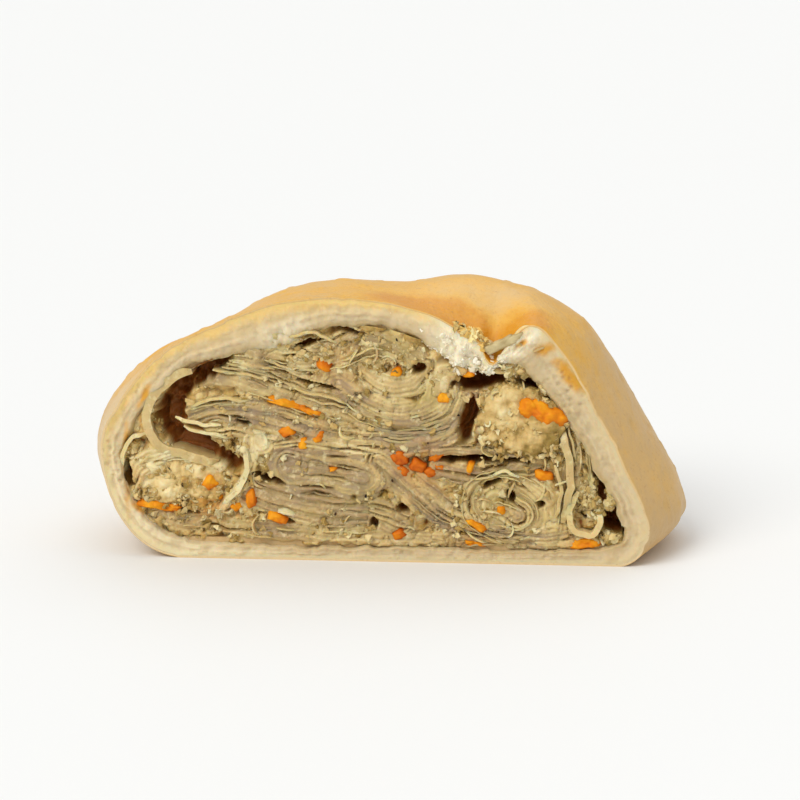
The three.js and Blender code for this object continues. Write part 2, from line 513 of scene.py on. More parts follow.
# %% Front edge and inside of the skin
LAP = 0.1  # how far the dough reaches under the skin, so that no gap shows
INSIDE_ROWS = 18


def at_depth(row, y):
    """A row of points moved to one depth behind the cut."""
    moved = row.copy()
    moved[:, 1] = y
    return moved


front = outside[0]
edge_rows = [
    at_depth(front - 0.15 * flat_normal, -0.02),
    at_depth(front - SKIN * flat_normal, 0.02),
    at_depth(front - (SKIN + LAP) * flat_normal, REBATE),
]
inner_line = around - around_normal * wall_thickness(around_normal)[:, None]
inner_length = LENGTH - WALL["end"]
inside_shares = REBATE / inner_length + (1 - REBATE / inner_length) * outside_shares(INSIDE_ROWS)
inside = loft(inner_line, around_normal, inside_shares, inner_length, WALL["base"])
print(len(edge_rows), "rows across the edge and", INSIDE_ROWS, "inside,", round(inner_length), "mm long")

# %% Close the shell
rows = np.concatenate([outside[::-1], np.stack(edge_rows), inside])
poles = [[0, LENGTH + 0.2, WAIST - FLAT_SINK], [0, inner_length, WAIST - FLAT_SINK]]
shell_points = np.concatenate([rows.reshape(-1, 3), poles])
shell_faces = list(grid_faces(len(rows), COLUMNS))
shell_faces += [f[::-1] for f in cap_faces(0, COLUMNS, len(shell_points) - 2)]
shell_faces += cap_faces((len(rows) - 1) * COLUMNS, COLUMNS, len(shell_points) - 1)


def painted_shell(values, edge, hidden):
    """Values for the outside, one for the front edge and one for all that is hidden."""
    rest = np.full((len(edge_rows) + INSIDE_ROWS, COLUMNS), float(hidden))
    rest[:2] = edge
    return np.concatenate([values[::-1].ravel(), rest.ravel(), [values[-1].mean(), hidden]])


# The pale crease colour also carries the painted highlight on the bump.
pale_parts_and_highlight = crease + 1.2 * pale_side + 0.7 * bump
pale_rim = 0.6 + 1.4 * (1 - top_side)
skin = make_piece(
    "crust_skin",
    shell_points,
    shell_faces,
    {"bake": painted_shell(bake, 0.55, 0.1), "crease": painted_shell(pale_parts_and_highlight, pale_rim, 0)},
)
sharpen(skin, 60)

# %% [markdown]
# ## The cream dough of the cut
#
# Cut dough is soft, pale and full of small pores, and it is torn where the seam was pulled open.
# It is a ring that sits in the step of the skin. Its cross-section goes round in a loop: across
# the front from the skin to the filling, back along the filling, and home behind. The front is
# pushed in and out by noise, and the inner edge wanders, thicker in some places than others.

# %% Outer edge of the dough, just under the skin
DOUGH_STEP = 0.27
FRONT_STEPS = 26
ring_line, ring_normal = section(DOUGH_STEP)
ring_wall = wall_thickness(ring_normal)
ring_top = np.maximum(0, ring_normal[:, 1])
RING = len(ring_line)


def cut_outline(line, normal):
    """The outline at the cut with the knife's notch, but without swelling."""
    outline = loft(line, normal, [0], LENGTH, 0)[0]
    outline[:, 2] -= np.maximum(0, normal[:, 1]) * knife_notch(outline[:, 0], 0)
    return outline


ring_outer = cut_outline(ring_line, ring_normal)
# The skin's own swelling at the cut, carried over to the finer ring.
skin_move = ((front - cut_outline(around, around_normal)) * flat_normal).sum(axis=1)
ring_share = np.arange(RING) / RING
skin_share = np.arange(COLUMNS + 1) / COLUMNS
ring_move = np.interp(ring_share, skin_share, np.append(skin_move, skin_move[0]))
ring_flat_normal = np.insert(ring_normal, 1, 0, axis=1)
ring_outer = ring_outer + ring_flat_normal * (ring_move - SKIN + LAP)[:, None]
ring_outer[:, 2] = np.maximum(ring_outer[:, 2], SKIN - LAP)
print("outer edge of the dough:", RING, "points")

# %% Inner edge of the dough, thicker here and thinner there
# Place along x, on the top side or not, width, how much thicker.
THICKER = [
    (-19, 1, 7, 2.8), (-38, 1, 5, -0.8), (16, 1, 5, 1.2), (2, 1, 6, -0.5), (33, 1, 6, 2.6),
    (45, 1, 4, 0.6), (-30, 0, 14, -0.6), (8, 0, 14, 0.7),
]
inner_edge = ring_line - ring_normal * ring_wall[:, None]
inner_edge[:, 1] -= ring_top * seam_hollow(inner_edge[:, 0], 0)
extra = 0.55 * rough(flat(inner_edge[:, 0], inner_edge[:, 1]), 3.0, 3, 31)
for place_x, on_top, width, amount in THICKER:
    extra += amount * bell(inner_edge[:, 0] - place_x, width) * ((ring_normal[:, 1] > 0) == on_top)
inner_edge = inner_edge - ring_normal * extra[:, None]
print("dough", (ring_wall + extra).min().round(1), "to", (ring_wall + extra).max().round(1), "mm thick")

# %% Pores, torn lumps and the flap
SEAM_TEAR, LEFT_TEAR = 17.5, -20  # where the dough is torn, along x
b = np.linspace(0, 1, FRONT_STEPS)[:, None]  # 0 beside the skin, 1 beside the filling
torn = bell(ring_line[:, 0] - SEAM_TEAR, 6)
torn = torn + 0.55 * bell(ring_line[:, 0] - LEFT_TEAR, 6) * smoothstep(b, 0.3, 0.6)
torn = torn * (ring_normal[:, 1] > 0.3)
fx = ring_outer[:, 0] * (1 - b) + inner_edge[:, 0] * b
fz = ring_outer[:, 2] * (1 - b) + inner_edge[:, 1] * b
face = flat(fx, fz)
pores, _ = cells(fx, fz, 1.7, 5)
porous = smoothstep(noise(face, 6, 33), 0.62, 0.85)
pore = porous * (1 - smoothstep(pores, 0.1, 0.36))
STREAK_LENGTH, STREAK_WIDTH, WAY_ROUND = 14, 0.75, 290
along_ring = ring_share * WAY_ROUND / STREAK_LENGTH + 0 * b
streaks = noise(np.stack([along_ring, 0 * fx, b * ring_wall / STREAK_WIDTH], -1), 1, 35)
torn_lumps, _ = cells(fx + 0.5 * rough(face, 2, 2, 38), fz, 2.1, 39)
small_lumps, _ = cells(fx, fz + 0.3 * rough(face, 1.4, 2, 40), 0.95, 42)
# The flap's torn edge is a pale, fibrous strip that rises to the right from its tip at the seam.
TIP_X, TIP_Z, RISE = 22.6, 38.6, 0.84
strip_away = (fz - TIP_Z) - RISE * (fx - TIP_X)
flap = bell(strip_away - 0.6, 2.4) * smoothstep(fx, 21, 23) * (1 - smoothstep(fx, 32, 35))
fibres = noise(np.stack([strip_away / 0.55, 0 * fx, fx / 3], -1), 1, 43)
print("front of the dough:", fx.shape, "torn", round(100 * float((torn > 0.5).mean())), "%")

# %% Push the front in and out
fy = 0.3 + 0.45 * rough(face, 2.6, 4, 34) + 0.45 * pore + 0.6 * (streaks - 0.5)
fy += torn * (0.9 * rough(face, 2.2, 3, 37) + 1.3 * torn_lumps + 0.6 * small_lumps - 1.0)
fy += flap * (0.9 * fibres + 0.5 * small_lumps + 0.5 * rough(face, 2.2, 3, 37) - 0.9)
fy = 0.03 + (fy - 0.03) * smoothstep(b, -0.02, 0.34)
fy += 0.9 * smoothstep(b, 0.82, 1.0) ** 2
front_rows = np.stack([fx, fy, fz], axis=-1)
# The way home behind: share of the way across to the filling, depth behind the cut.
WAY_BACK = [(1, 1.8), (1, 3.2), (0.8, 4.5), (0.2, REBATE + 2), (0.02, REBATE + 1)]
back_rows = [
    at_depth(front_rows[0] * (1 - share) + front_rows[-1] * share, depth) for share, depth in WAY_BACK
]
dough_rows = np.concatenate([front_rows, np.stack(back_rows)])
dough_faces = grid_faces(len(dough_rows) + 1, RING) % (len(dough_rows) * RING)
print("front of the dough from", fy.min().round(1), "to", fy.max().round(1), "mm")

# %% Paint the dough
# The dough is golden beside the skin on the left and on top; on the right and below it is not.
plain_side = smoothstep(0.9 * ring_normal[:, 0] - 0.5 * ring_normal[:, 1], 0.05, 0.5)
layer = smoothstep(streaks + 0.5 * rough(face, 2, 3, 36), 0.45, 0.9) * smoothstep(b, 0.1, 0.3)
# Paler towards the lower left of the cut face.
pale = smoothstep(-0.75 * ring_line[:, 0] - ring_line[:, 1], 5, 32)
# Golden patches, where melted fat browned the dough; the long patch on the right edge is also
# painted shade: x, z, half length, half width, tilt.
TOAST_AND_SHADE = [
    (34.6, 44.2, 3.8, 1.7, 6), (40.2, 38.4, 6.0, 1.9, -46), (29.6, 45.2, 1.8, 0.7, 30),
    (-50.2, 20, 1.1, 12, 0), (-47.6, 10, 3.6, 0.9, -38), (-46.6, 33, 0.9, 4, -30),
]
toast_and_shade = np.zeros(fx.shape)
for patch in TOAST_AND_SHADE:
    away = oval(fx, fz, *patch) + 0.4 * rough(face, 2, 3, 36)
    toast_and_shade = np.maximum(toast_and_shade, 1 - smoothstep(away, 0.15, 1.15))


def whole_ring(front_values, behind=0.0):
    """Values of the front, and one value for all the rows behind it."""
    return np.concatenate([front_values, np.full((len(back_rows), RING), behind)])


across = whole_ring(b + 0 * fx, 1.0) * (1 - 0.45 * plain_side) + 0.42 * plain_side
dough_paint = {
    "across": across,
    "pore": whole_ring(pore),
    "torn": whole_ring(np.maximum(torn, flap)),
    "pale": np.broadcast_to(pale, across.shape),
    "toast_and_shade": whole_ring(toast_and_shade),
    "layer": whole_ring(layer),
}
dough = make_piece("cut_dough", dough_rows.reshape(-1, 3), dough_faces, dough_paint)
sharpen(dough, 60)

# %% [markdown]
# ## Where the leaves lie
#
# The filling is a mass of thin cabbage leaves pressed together, so its cut face is a pattern of
# bundles. Each bundle is a smooth line with a width: the leaves in it run side by side along the
# line. A bundle marked "rings" closes round its line instead, as a rolled leaf does. The same
# bundles shape the relief of the solid core and the separate leaves in front of it.

# %% Bundles of leaves
# name: knots of the line, half width, distance between leaves, tone from grey to ivory, rings
BUNDLES = {
    "upper stack": ([(-33, 39), (-24, 38), (-14, 34.5), (-4, 32)], 4.2, 1.05, 0.48, False),
    "long band": (
        [(-40, 28.5), (-31, 30.5), (-22, 29.5), (-12, 26.5), (0, 24.8), (10, 25.3), (17, 29), (19, 34)],
        2.8, 0.8, 0.15, False),
    "bowl": ([(-7, 35), (-1, 31), (7, 29.5), (13, 32), (14.5, 37.5)], 4.4, 1.3, 0.5, False),
    "bowl heart": ([(-2, 39), (3, 36), (8, 36.5), (10.5, 40)], 2.6, 1.2, 0.55, False),
    "under the top": ([(-27, 43.5), (-18, 41), (-8, 41.5), (0, 44.5), (8, 42)], 2.5, 1.2, 0.6, False),
    "top curl": ([(-20, 45.8), (-11, 44.2), (-4, 47)], 1.6, 1.0, 0.5, False),
    "rolled leaf": ([(-17, 19), (-2, 17)], 5.4, 0.95, 0.1, True),
    "falling band": ([(1, 20.5), (8, 15), (14, 10), (22, 6.8), (32, 5.4), (39, 6)], 3.6, 0.9, 0.25, False),
    "low layers": ([(-26, 13.5), (-18, 11.5), (-9, 9.5), (-1, 9.8), (6, 7.5)], 3.2, 1.0, 0.38, False),
    "right roll": ([(25, 12), (29, 10)], 9.0, 1.1, 0.6, True),
    "column": ([(38.5, 30), (40, 23), (39.3, 14), (38.7, 7)], 1.9, 1.0, 0.45, False),
    "outer column": ([(41.5, 28), (43.4, 21), (44, 14), (46, 9.5)], 0.6, 1.1, 0.6, False),
    "white rib": ([(-25, 25), (-25, 19), (-27, 14.5), (-30, 10.5)], 1.6, 1.0, 0.9, False),
    "curl": ([(-23.5, 25.2), (-22.5, 23.8)], 2.6, 0.9, 0.8, True),
    "above the slit": ([(12, 22.8), (21, 23.2), (29, 22)], 1.3, 0.8, 0.3, False),
    "below the slit": ([(13, 19.3), (20, 18.2), (25, 19), (33, 20)], 2.3, 1.0, 0.25, False),
    "fan": ([(-36, 25.5), (-29, 27), (-20, 25)], 2.0, 1.0, 0.75, False),
    "thin beige": ([(-20, 23.9), (-10, 23.7), (1, 22.3)], 1.3, 0.9, 0.6, False),
    "bottom strip": ([(-45, 8.6), (-34, 7.2), (-20, 5.6), (-4, 5.2), (14, 4.6)], 2.0, 1.7, 0.5, False),
    "bottom right": ([(12, 4.4), (28, 4.6), (44, 4.4)], 1.6, 1.5, 0.5, False),
    "low left": ([(-50, 14), (-47, 19), (-40, 22), (-32, 20)], 2.4, 1.6, 0.85, False),
}
lines = {}
for name, (knots, *_rest) in BUNDLES.items():
    if len(knots) == 2:
        knots = [knots[0], np.mean(knots, axis=0) + (0, 0.3), knots[1]]
    lines[name] = smooth_line(knots, 0.5)
print(len(BUNDLES), "bundles,", round(sum(len(line) * 0.5 for line in lines.values())), "mm of line")

# %% [markdown]
# ## The core of the filling
#
# Behind the loose pieces lies one solid core that runs through the whole half. Its face is a fine
# grid across the cut. For each point the nearest bundle says which leaf it belongs to. Each leaf
# gets its own level and tone, with a groove beside it, and what belongs to no bundle is crumbly
# mince. Hollows that the knife opened are sunk deep into the core.

# %% Hollows between the leaves
# x, z, half length, half width, tilt in degrees, depth
HOLLOWS = [
    (-33.5, 40, 5.8, 2.2, 30, 7), (-39.5, 35.5, 3.6, 2.8, 48, 7), (-41.2, 30, 3.0, 5.6, -8, 6.5),
    (-36.5, 23.6, 6.2, 2.8, -24, 7), (-29.6, 20.6, 3.2, 1.5, -38, 6),
    (21.5, 37.4, 5.5, 2.0, 14, 10), (31, 36.6, 3, 1.0, -25, 7), (36.5, 33, 2.6, 0.8, -52, 7),
    (19.2, 30, 1.5, 4.6, -14, 6), (20.5, 21.2, 9, 0.75, 0, 9), (49, 9, 2.9, 3.1, 20, 9),
    (45.6, 15.5, 1.1, 5, 12, 5), (42.8, 9.9, 1.0, 0.7, 0, 6), (-13, 44.6, 3.4, 0.55, 18, 5),
    (-5, 47.2, 3.6, 0.5, -18, 4), (9, 39.7, 1.8, 1.0, 12, 5), (-18, 8, 2.2, 0.45, -20, 5),
    (27.6, 13.6, 0.9, 1.2, 20, 5), (33.5, 12.2, 1.1, 0.8, 30, 5), (-41, 9.8, 4.5, 0.5, -8, 5),
    (-22, 16.6, 3.2, 0.7, -18, 6), (-26.5, 28.2, 1.8, 0.6, -15, 5), (-12, 36.2, 4.0, 0.3, -14, 4),
    (5.5, 10.8, 1.4, 0.8, -30, 4), (0, 7.6, 0.8, 1.2, 10, 4), (-50, 17, 1.0, 3, 15, 5),
    (-31, 32.6, 2.6, 0.4, 8, 4), (24.5, 16.6, 2.2, 0.5, 25, 4),
]


def hollow_depth(x, z):
    """How deep the knife opened the filling at each point."""
    deepest = np.zeros(np.shape(x))
    ragged = 1 + 0.35 * rough(flat(x, z), 2.4, 2, 41)
    for *place_and_size, depth in HOLLOWS:
        inside_it = 1 - smoothstep(oval(x, z, *place_and_size) * ragged, 0.65, 1.25)
        deepest = np.maximum(deepest, depth * inside_it)
    return deepest


print(len(HOLLOWS), "hollows")


# %% Which leaf each point belongs to
STRIPE = 0.85  # distance between the fine ribs of a leaf pressed flat


def nearest_leaf(x, z):
    """For each point: share of the bundle's width, leaf number, groove, tone and fine stripes."""
    best, tone = np.full(x.shape, FAR), np.full(x.shape, 0.5)
    leaf, groove, stripe = (np.zeros(x.shape) for _ in range(3))
    for number, (name, (_knots, half, spacing, bundle_tone, rings)) in enumerate(BUNDLES.items()):
        line, normal = lines[name], side_normals(lines[name])
        away = np.hypot(x[..., None] - line[:, 0], z[..., None] - line[:, 1])
        k = away.argmin(axis=-1)
        distance = away.min(axis=-1)
        side = (x - line[k, 0]) * normal[k, 0] + (z - line[k, 1]) * normal[k, 1]
        offset = distance if rings else distance * np.sign(side)
        offset = offset + 0.55 * rough(flat(x, z), 6, 3, number)
        uneven = 1.6 * noise(np.stack([offset / 2.6, 0 * x, 0 * x + number], -1), 1, 48)
        q = offset / spacing + uneven + 20
        edge = np.round(q)
        place_on = np.stack([k / 14, edge * 1.7, 0 * x + number], -1)
        strength = smoothstep(noise(place_on, 1, 49), 0.4, 0.72)
        share = distance / half + 0.3 * rough(flat(x, z), 3, 3, 50 + number)
        closer = share < best
        best = np.where(closer, share, best)
        leaf = np.where(closer, np.floor(q) + 40 * number, leaf)
        groove = np.where(closer, bell(q - edge, 0.2) * strength, groove)
        tone = np.where(closer, bundle_tone, tone)
        across = offset / STRIPE + 1.2 * noise(flat(x, z, number), 9, 47)
        stripe = np.where(closer, np.cos(2 * np.pi * across), stripe)
    return best, leaf, groove, tone, stripe


def leaf_number(leaf, salt):
    """The same random number for every point of one leaf."""
    row, column = np.divmod(leaf.astype(int), LATTICE_SIZE)
    return LATTICE[column, row % LATTICE_SIZE, salt]


sample = nearest_leaf(np.array([-2.0]), np.array([18.0]))
print("in the middle of the rolled leaf: tone", sample[3][0], "leaf", int(sample[1][0]))


# %% A fine grid over the core's face
CORE_STEP = 0.25
CORE_MARGIN = 0.6  # left out at both sides, where the edge is upright
CORE_GAP = -0.35  # reaches a little into the dough
face_line, face_normal = section(0.4)
face_edge = face_line - face_normal * (wall_thickness(face_normal) + CORE_GAP)[:, None]
face_edge[:, 1] -= np.maximum(0, face_normal[:, 1]) * seam_hollow(face_edge[:, 0], 0)
face_edge[:, 1] = np.maximum(face_edge[:, 1], WALL["base"] + CORE_GAP - FLAT_SINK)
left, right = face_edge[:, 0].argmin(), face_edge[:, 0].argmax()
core_x = np.arange(face_edge[left, 0] + CORE_MARGIN, face_edge[right, 0] - CORE_MARGIN, CORE_STEP)


def edge_height(edge):
    """Height of part of the edge above each of the grid's columns."""
    order = np.argsort(edge[:, 0])
    return np.interp(core_x, edge[order, 0], edge[order, 1])


top_z = edge_height(face_edge[left : right + 1])
bottom_z = edge_height(np.vstack([face_edge[right:], face_edge[: left + 1]]))
CORE_ROWS = round((top_z - bottom_z).max() / CORE_STEP)
up_share = np.linspace(0, 1, CORE_ROWS)[:, None]
gx = np.broadcast_to(core_x, (CORE_ROWS, len(core_x)))
gz = bottom_z + up_share * (top_z - bottom_z)
print("core face:", gx.shape, "points")

# %% Relief of the leaves
FAINT_GROOVE, DEEP_GROOVE = 0.2, 1.7  # depth of the faintest groove, and how much more at most
share, leaf, groove, tone, stripe = nearest_leaf(gx, gz)
stripe *= smoothstep(noise(flat(gx, gz, 13), 5, 59), 0.25, 0.6)
in_leaf = 1 - smoothstep(share, 0.8, 1.05)
groove_depth = FAINT_GROOVE + DEEP_GROOVE * smoothstep(noise(flat(gx, gz, 3), 4.5, 60), 0.42, 0.86)
level = 1.1 * leaf_number(leaf, 3) + 0.6 * rough(flat(gx, gz, 9), 5, 3, 61) + 0.1
# Where a broad leaf lies flat against the cut, the grooves all but close up.
in_bowl = bell(np.hypot(gx - 8, gz - 33.5), 6)
in_low_layers = bell(np.hypot(gx - 4, gz - 13), 3.5)
pressed = np.maximum(in_bowl, 0.6 * in_low_layers)
still_open = 1 - 0.8 * pressed
leaf_relief = level * (1 - 0.5 * pressed) + groove * groove_depth * still_open + 0.07 * stripe
print("leaves take", round(100 * float(in_leaf.mean())), "% of the face")

# %% Relief of the mince, cracks and hollows
crumb_away, crumb_own = cells(gx, gz, 1.9, 8)
fine_away, _ = cells(gx, gz, 0.8, 14)
big_away, big_own = cells(gx + 0.4 * rough(flat(gx, gz), 3, 2, 66), gz, 3.4, 17)
mince_relief = 0.4 + 0.8 * crumb_away + 0.35 * fine_away + 0.9 * (crumb_own - 0.5)
mince_relief += 1.3 * smoothstep(big_away, 0.3, 0.75) + 0.8 * (big_own - 0.5)
relief = 0.5 + leaf_relief * in_leaf + mince_relief * (1 - in_leaf)
relief += 0.6 * rough(flat(gx, gz), 12, 2, 64) + 0.2 * rough(flat(gx, gz), 1.3, 2, 63)
# Thin irregular cracks, where a smooth noise passes through its middle value.
crack_line = np.abs(rough(flat(gx, gz), 5.5, 4, 67))
crack_here = smoothstep(noise(flat(gx, gz, 5), 7, 68), 0.5, 0.7)
crack = bell(crack_line, 0.045) * crack_here * (1 - 0.5 * in_leaf)
relief += 0.9 * crack - 0.35 * np.minimum(crack_line, 0.6) * in_leaf
hollow = hollow_depth(gx, gz)
off_rim = smoothstep(10 * np.minimum(up_share, 1 - up_share), 0, 0.4)
depth = relief + hollow * off_rim
print("deepest place of the face:", depth.max().round(1), "mm")

# %% Tone, painted gap shade and tints of the face
# Painted shade: the deeper a groove, a hollow, a crack or the space between crumbs, the darker its colour.
gap_shade = np.clip(groove * in_leaf * (groove_depth - FAINT_GROOVE) / DEEP_GROOVE, 0, 1) * still_open
gap_shade = np.maximum(gap_shade, smoothstep(hollow, 0.8, 4.5))
shade_between_crumbs = smoothstep(crumb_away, 0.55, 0.8) * 0.5 + smoothstep(big_away, 0.55, 0.8) * 0.7
gap_shade = np.maximum(gap_shade, (1 - in_leaf) * shade_between_crumbs)
gap_shade = np.maximum(gap_shade, 0.7 * crack)
leaf_tone = tone + 0.42 * (leaf_number(leaf, 5) - 0.5) * (1 - 0.5 * pressed) - 0.1 * stripe
leaf_tone += 0.9 * (noise(flat(gx, gz, 15), 4, 57) - 0.5) * (1 - 0.6 * pressed)
mince_tone = 0.5 + 0.7 * (crumb_own - 0.5) + 0.5 * (big_own - 0.5)
# Places where the filling is golden (carrot juice and fat) or olive: x, z, width, amount.
GOLDEN = [
    (-47.5, 29, 3, 0.9), (-49, 13, 4, 0.9), (-36, 12.5, 5, 0.8), (-14, 28.3, 4, 0.6), (8, 20, 5.5, 0.7),
    (-30, 9, 6, 0.5), (20, 41, 4, 0.7), (43, 5, 4, 0.8), (-6, 41, 4, 0.4), (20, 6, 4, 0.5),
]
OLIVE = [
    (45.5, 16, 3.2, 1.0), (36.5, 25, 3.5, 0.8), (-16, 44, 4, 0.6), (5, 45, 5, 0.6), (10, 33.5, 3, 0.7),
    (26, 15.5, 5, 0.6), (-2, 12, 5, 0.5), (-21, 19, 3, 0.6), (30, 22, 3, 0.6),
]


def tinted(places):
    """How strongly a tint shows: soft spots, broken up by noise."""
    spots = sum(amount * bell(np.hypot(gx - px, gz - pz), width) for px, pz, width, amount in places)
    return np.clip(spots, 0, 1) * smoothstep(noise(flat(gx, gz, 11), 2.2, 62), 0.25, 0.65)


core_tone = np.clip(leaf_tone * in_leaf + mince_tone * (1 - in_leaf), 0, 1)
print("golden", tinted(GOLDEN).mean().round(2), "olive", tinted(OLIVE).mean().round(2), "on average")

# %% The core behind its face
body_shares = np.array([0.08, 0.2, 0.35, 0.5, 0.65, 0.78, 0.88, 0.95, 0.99])
core_length = inner_length - 1.2
boundary = np.concatenate([
    [(0, c) for c in range(gx.shape[1])],
    [(r, gx.shape[1] - 1) for r in range(1, CORE_ROWS)],
    [(CORE_ROWS - 1, c) for c in range(gx.shape[1] - 2, -1, -1)],
    [(r, 0) for r in range(CORE_ROWS - 2, 0, -1)],
])
edge_x, edge_z = gx[boundary[:, 0], boundary[:, 1]], gz[boundary[:, 0], boundary[:, 1]]
t = body_shares[:, None]
body = np.stack([
    edge_x * super_arc(t, BLUNTNESS["plan"]) * 0.99,
    t * core_length + 0 * edge_x,
    WAIST + 1 + (edge_z - WAIST - 1) * super_arc(t, BLUNTNESS["above"]) * 0.98,
], axis=-1)
face_points = np.stack([gx, depth, gz], axis=-1).reshape(-1, 3)
core_points = np.concatenate([face_points, body.reshape(-1, 3), [[0, core_length, WAIST]]])
print("core:", len(body_shares), "rings of", len(boundary), "points behind the face")

# %% Close the core
ring_start = len(face_points)
boundary_index = boundary[:, 0] * gx.shape[1] + boundary[:, 1]
n_edge = len(boundary_index)
ring = np.arange(n_edge)
following = (ring + 1) % n_edge
corners = [boundary_index[following], boundary_index[ring], ring_start + ring, ring_start + following]
last_ring = ring_start + (len(body_shares) - 1) * n_edge
core_faces = list(grid_faces(CORE_ROWS, gx.shape[1], wrap=False))
core_faces += list(np.stack(corners, axis=1))
core_faces += list(ring_start + grid_faces(len(body_shares), n_edge)[:, ::-1])
core_faces += [f[::-1] for f in cap_faces(last_ring, n_edge, len(core_points) - 1)]


def painted_core(values, rest):
    """Values for the face, and one value for all that is hidden."""
    return np.concatenate([values.ravel(), np.full(len(core_points) - len(face_points), rest)])


core_paint = {
    "tone": painted_core(core_tone, 0.5),
    "mince": painted_core(1 - in_leaf, 1.0),
    "gap_shade": painted_core(gap_shade, 0.3),
    "gold": painted_core(tinted(GOLDEN), 0.0),
    "olive": painted_core(tinted(OLIVE), 0.0),
}
core = make_piece("filling_core", core_points, core_faces, core_paint)

# %% [markdown]
# ## The leaves themselves
#
# Real leaves stand a little proud of the mass between them, and their cut edges catch the light.
# Each is drawn as a line of edges in the cut plane, following its bundle, with its thickness and
# its lean stored on the points. Geometry Nodes then makes the sheets, because the same few steps
# repeat for every leaf: pull the line back into the filling twice, and then give the sheet its
# thickness.

# %% One leaf of a bundle
LEAF_STEP = 0.45
TOO_DEEP = 1.5  # no leaf reaches across a hollow deeper than this
leaf_rng = np.random.default_rng(5)


def ring_around(line, radius):
    """A closed line around a short one, at the given distance."""
    a, b = line[0], line[-1]
    along = (b - a) / np.linalg.norm(b - a)
    over = np.array([-along[1], along[0]])
    count = max(16, int(2 * np.pi * (radius + 2) / LEAF_STEP))
    turn = np.linspace(0, 2 * np.pi, count, endpoint=False)[:, None]
    centre = np.where(np.cos(turn) > 0, b, a)
    return centre + radius * (np.cos(turn) * along + np.sin(turn) * over)


def bundle_leaf(number, line, offset, rings):
    """One leaf's line in a bundle: a stretch beside the middle line, or part of a ring."""
    if rings:
        points = ring_around(line, offset)
        points = np.roll(points, int(leaf_rng.integers(len(points))), axis=0)
        points = points[: max(8, int(len(points) * leaf_rng.uniform(0.45, 0.95)))]
        return points + 0.25 * rough(flat(points[:, 0], points[:, 1]), 5, 2, number)[:, None]
    wander = 0.7 * noise(flat(line[:, 0], line[:, 1], offset), 7, number) - 0.35
    moved = line + side_normals(line) * (offset + wander)[:, None]
    start = int(max(0, leaf_rng.uniform(-0.1, 0.35)) * len(line))
    end = int(min(1, leaf_rng.uniform(0.55, 1.1)) * len(line))
    return moved[start : max(end, start + 6)]


def torn_pieces(points):
    """Stretches of a leaf that are whole, leaving out where it is torn or spans a hollow."""
    whole = noise(flat(points[:, 0], points[:, 1], leaf_rng.uniform(0, 90)), 5, 70) > 0.47
    whole &= hollow_depth(points[:, 0], points[:, 1]) < TOO_DEEP
    breaks = np.flatnonzero(np.diff(whole.astype(int))) + 1
    stretches = np.split(np.arange(len(points)), breaks)
    return [points[part] for part in stretches if whole[part[0]] and len(part) > 4]


print("a ring 5 mm round the rolled leaf:", len(ring_around(lines["rolled leaf"], 5)), "points")


# %% All leaves of the bundles, and scraps between them
SHREDS = 220  # places tried; where there is no room, none is laid


def shreds(count):
    """Short curled scraps of leaf that lie in the mince."""
    scraps = []
    for _ in range(count):
        x, z = leaf_rng.uniform(-48, 48), leaf_rng.uniform(6, 46)
        share = nearest_leaf(np.array([x]), np.array([z]))[0][0]
        inside_wall = -44 + abs(z - 18) * 0.9 < x < 47 - z * 0.35
        if not inside_wall or hollow_depth(x, z) > 1 or share < leaf_rng.uniform(0, 1.6):
            continue
        heading, bend = leaf_rng.uniform(0, 2 * np.pi), leaf_rng.normal(0, 0.28)
        turn = heading + bend * np.arange(leaf_rng.integers(5, 13))
        line = np.stack([x + np.cumsum(np.cos(turn)), z + np.cumsum(np.sin(turn))], 1)
        line = (line - line[0]) * LEAF_STEP + (x, z)
        tone, thick = leaf_rng.uniform(0.3, 1), leaf_rng.uniform(0.25, 0.5)
        scraps.append((line, tone, thick, leaf_rng.uniform(-0.1, 0.8), 0.7))
    return scraps


def bundle_leaves():
    """Leaves of all bundles: points, tone, thickness, place of the front edge, depth."""
    leaves = []
    for number, (name, (_knots, half, spacing, bundle_tone, rings)) in enumerate(BUNDLES.items()):
        offsets = np.arange(spacing / 2 if rings else spacing / 2 - half, half, spacing)
        flush = 0.3 * (bundle_tone < 0.4)
        for offset in offsets:
            points = bundle_leaf(number, lines[name], offset, rings)
            if len(points) > 9:
                points = smooth_line(points[::3], LEAF_STEP)
            for piece in torn_pieces(points):
                leaves.append((
                    piece,
                    np.clip(bundle_tone + leaf_rng.normal(0, 0.2), 0, 1),
                    leaf_rng.uniform(0.18, 0.42),
                    flush + leaf_rng.uniform(0.35, 1.25),
                    1.0,
                ))
    return leaves


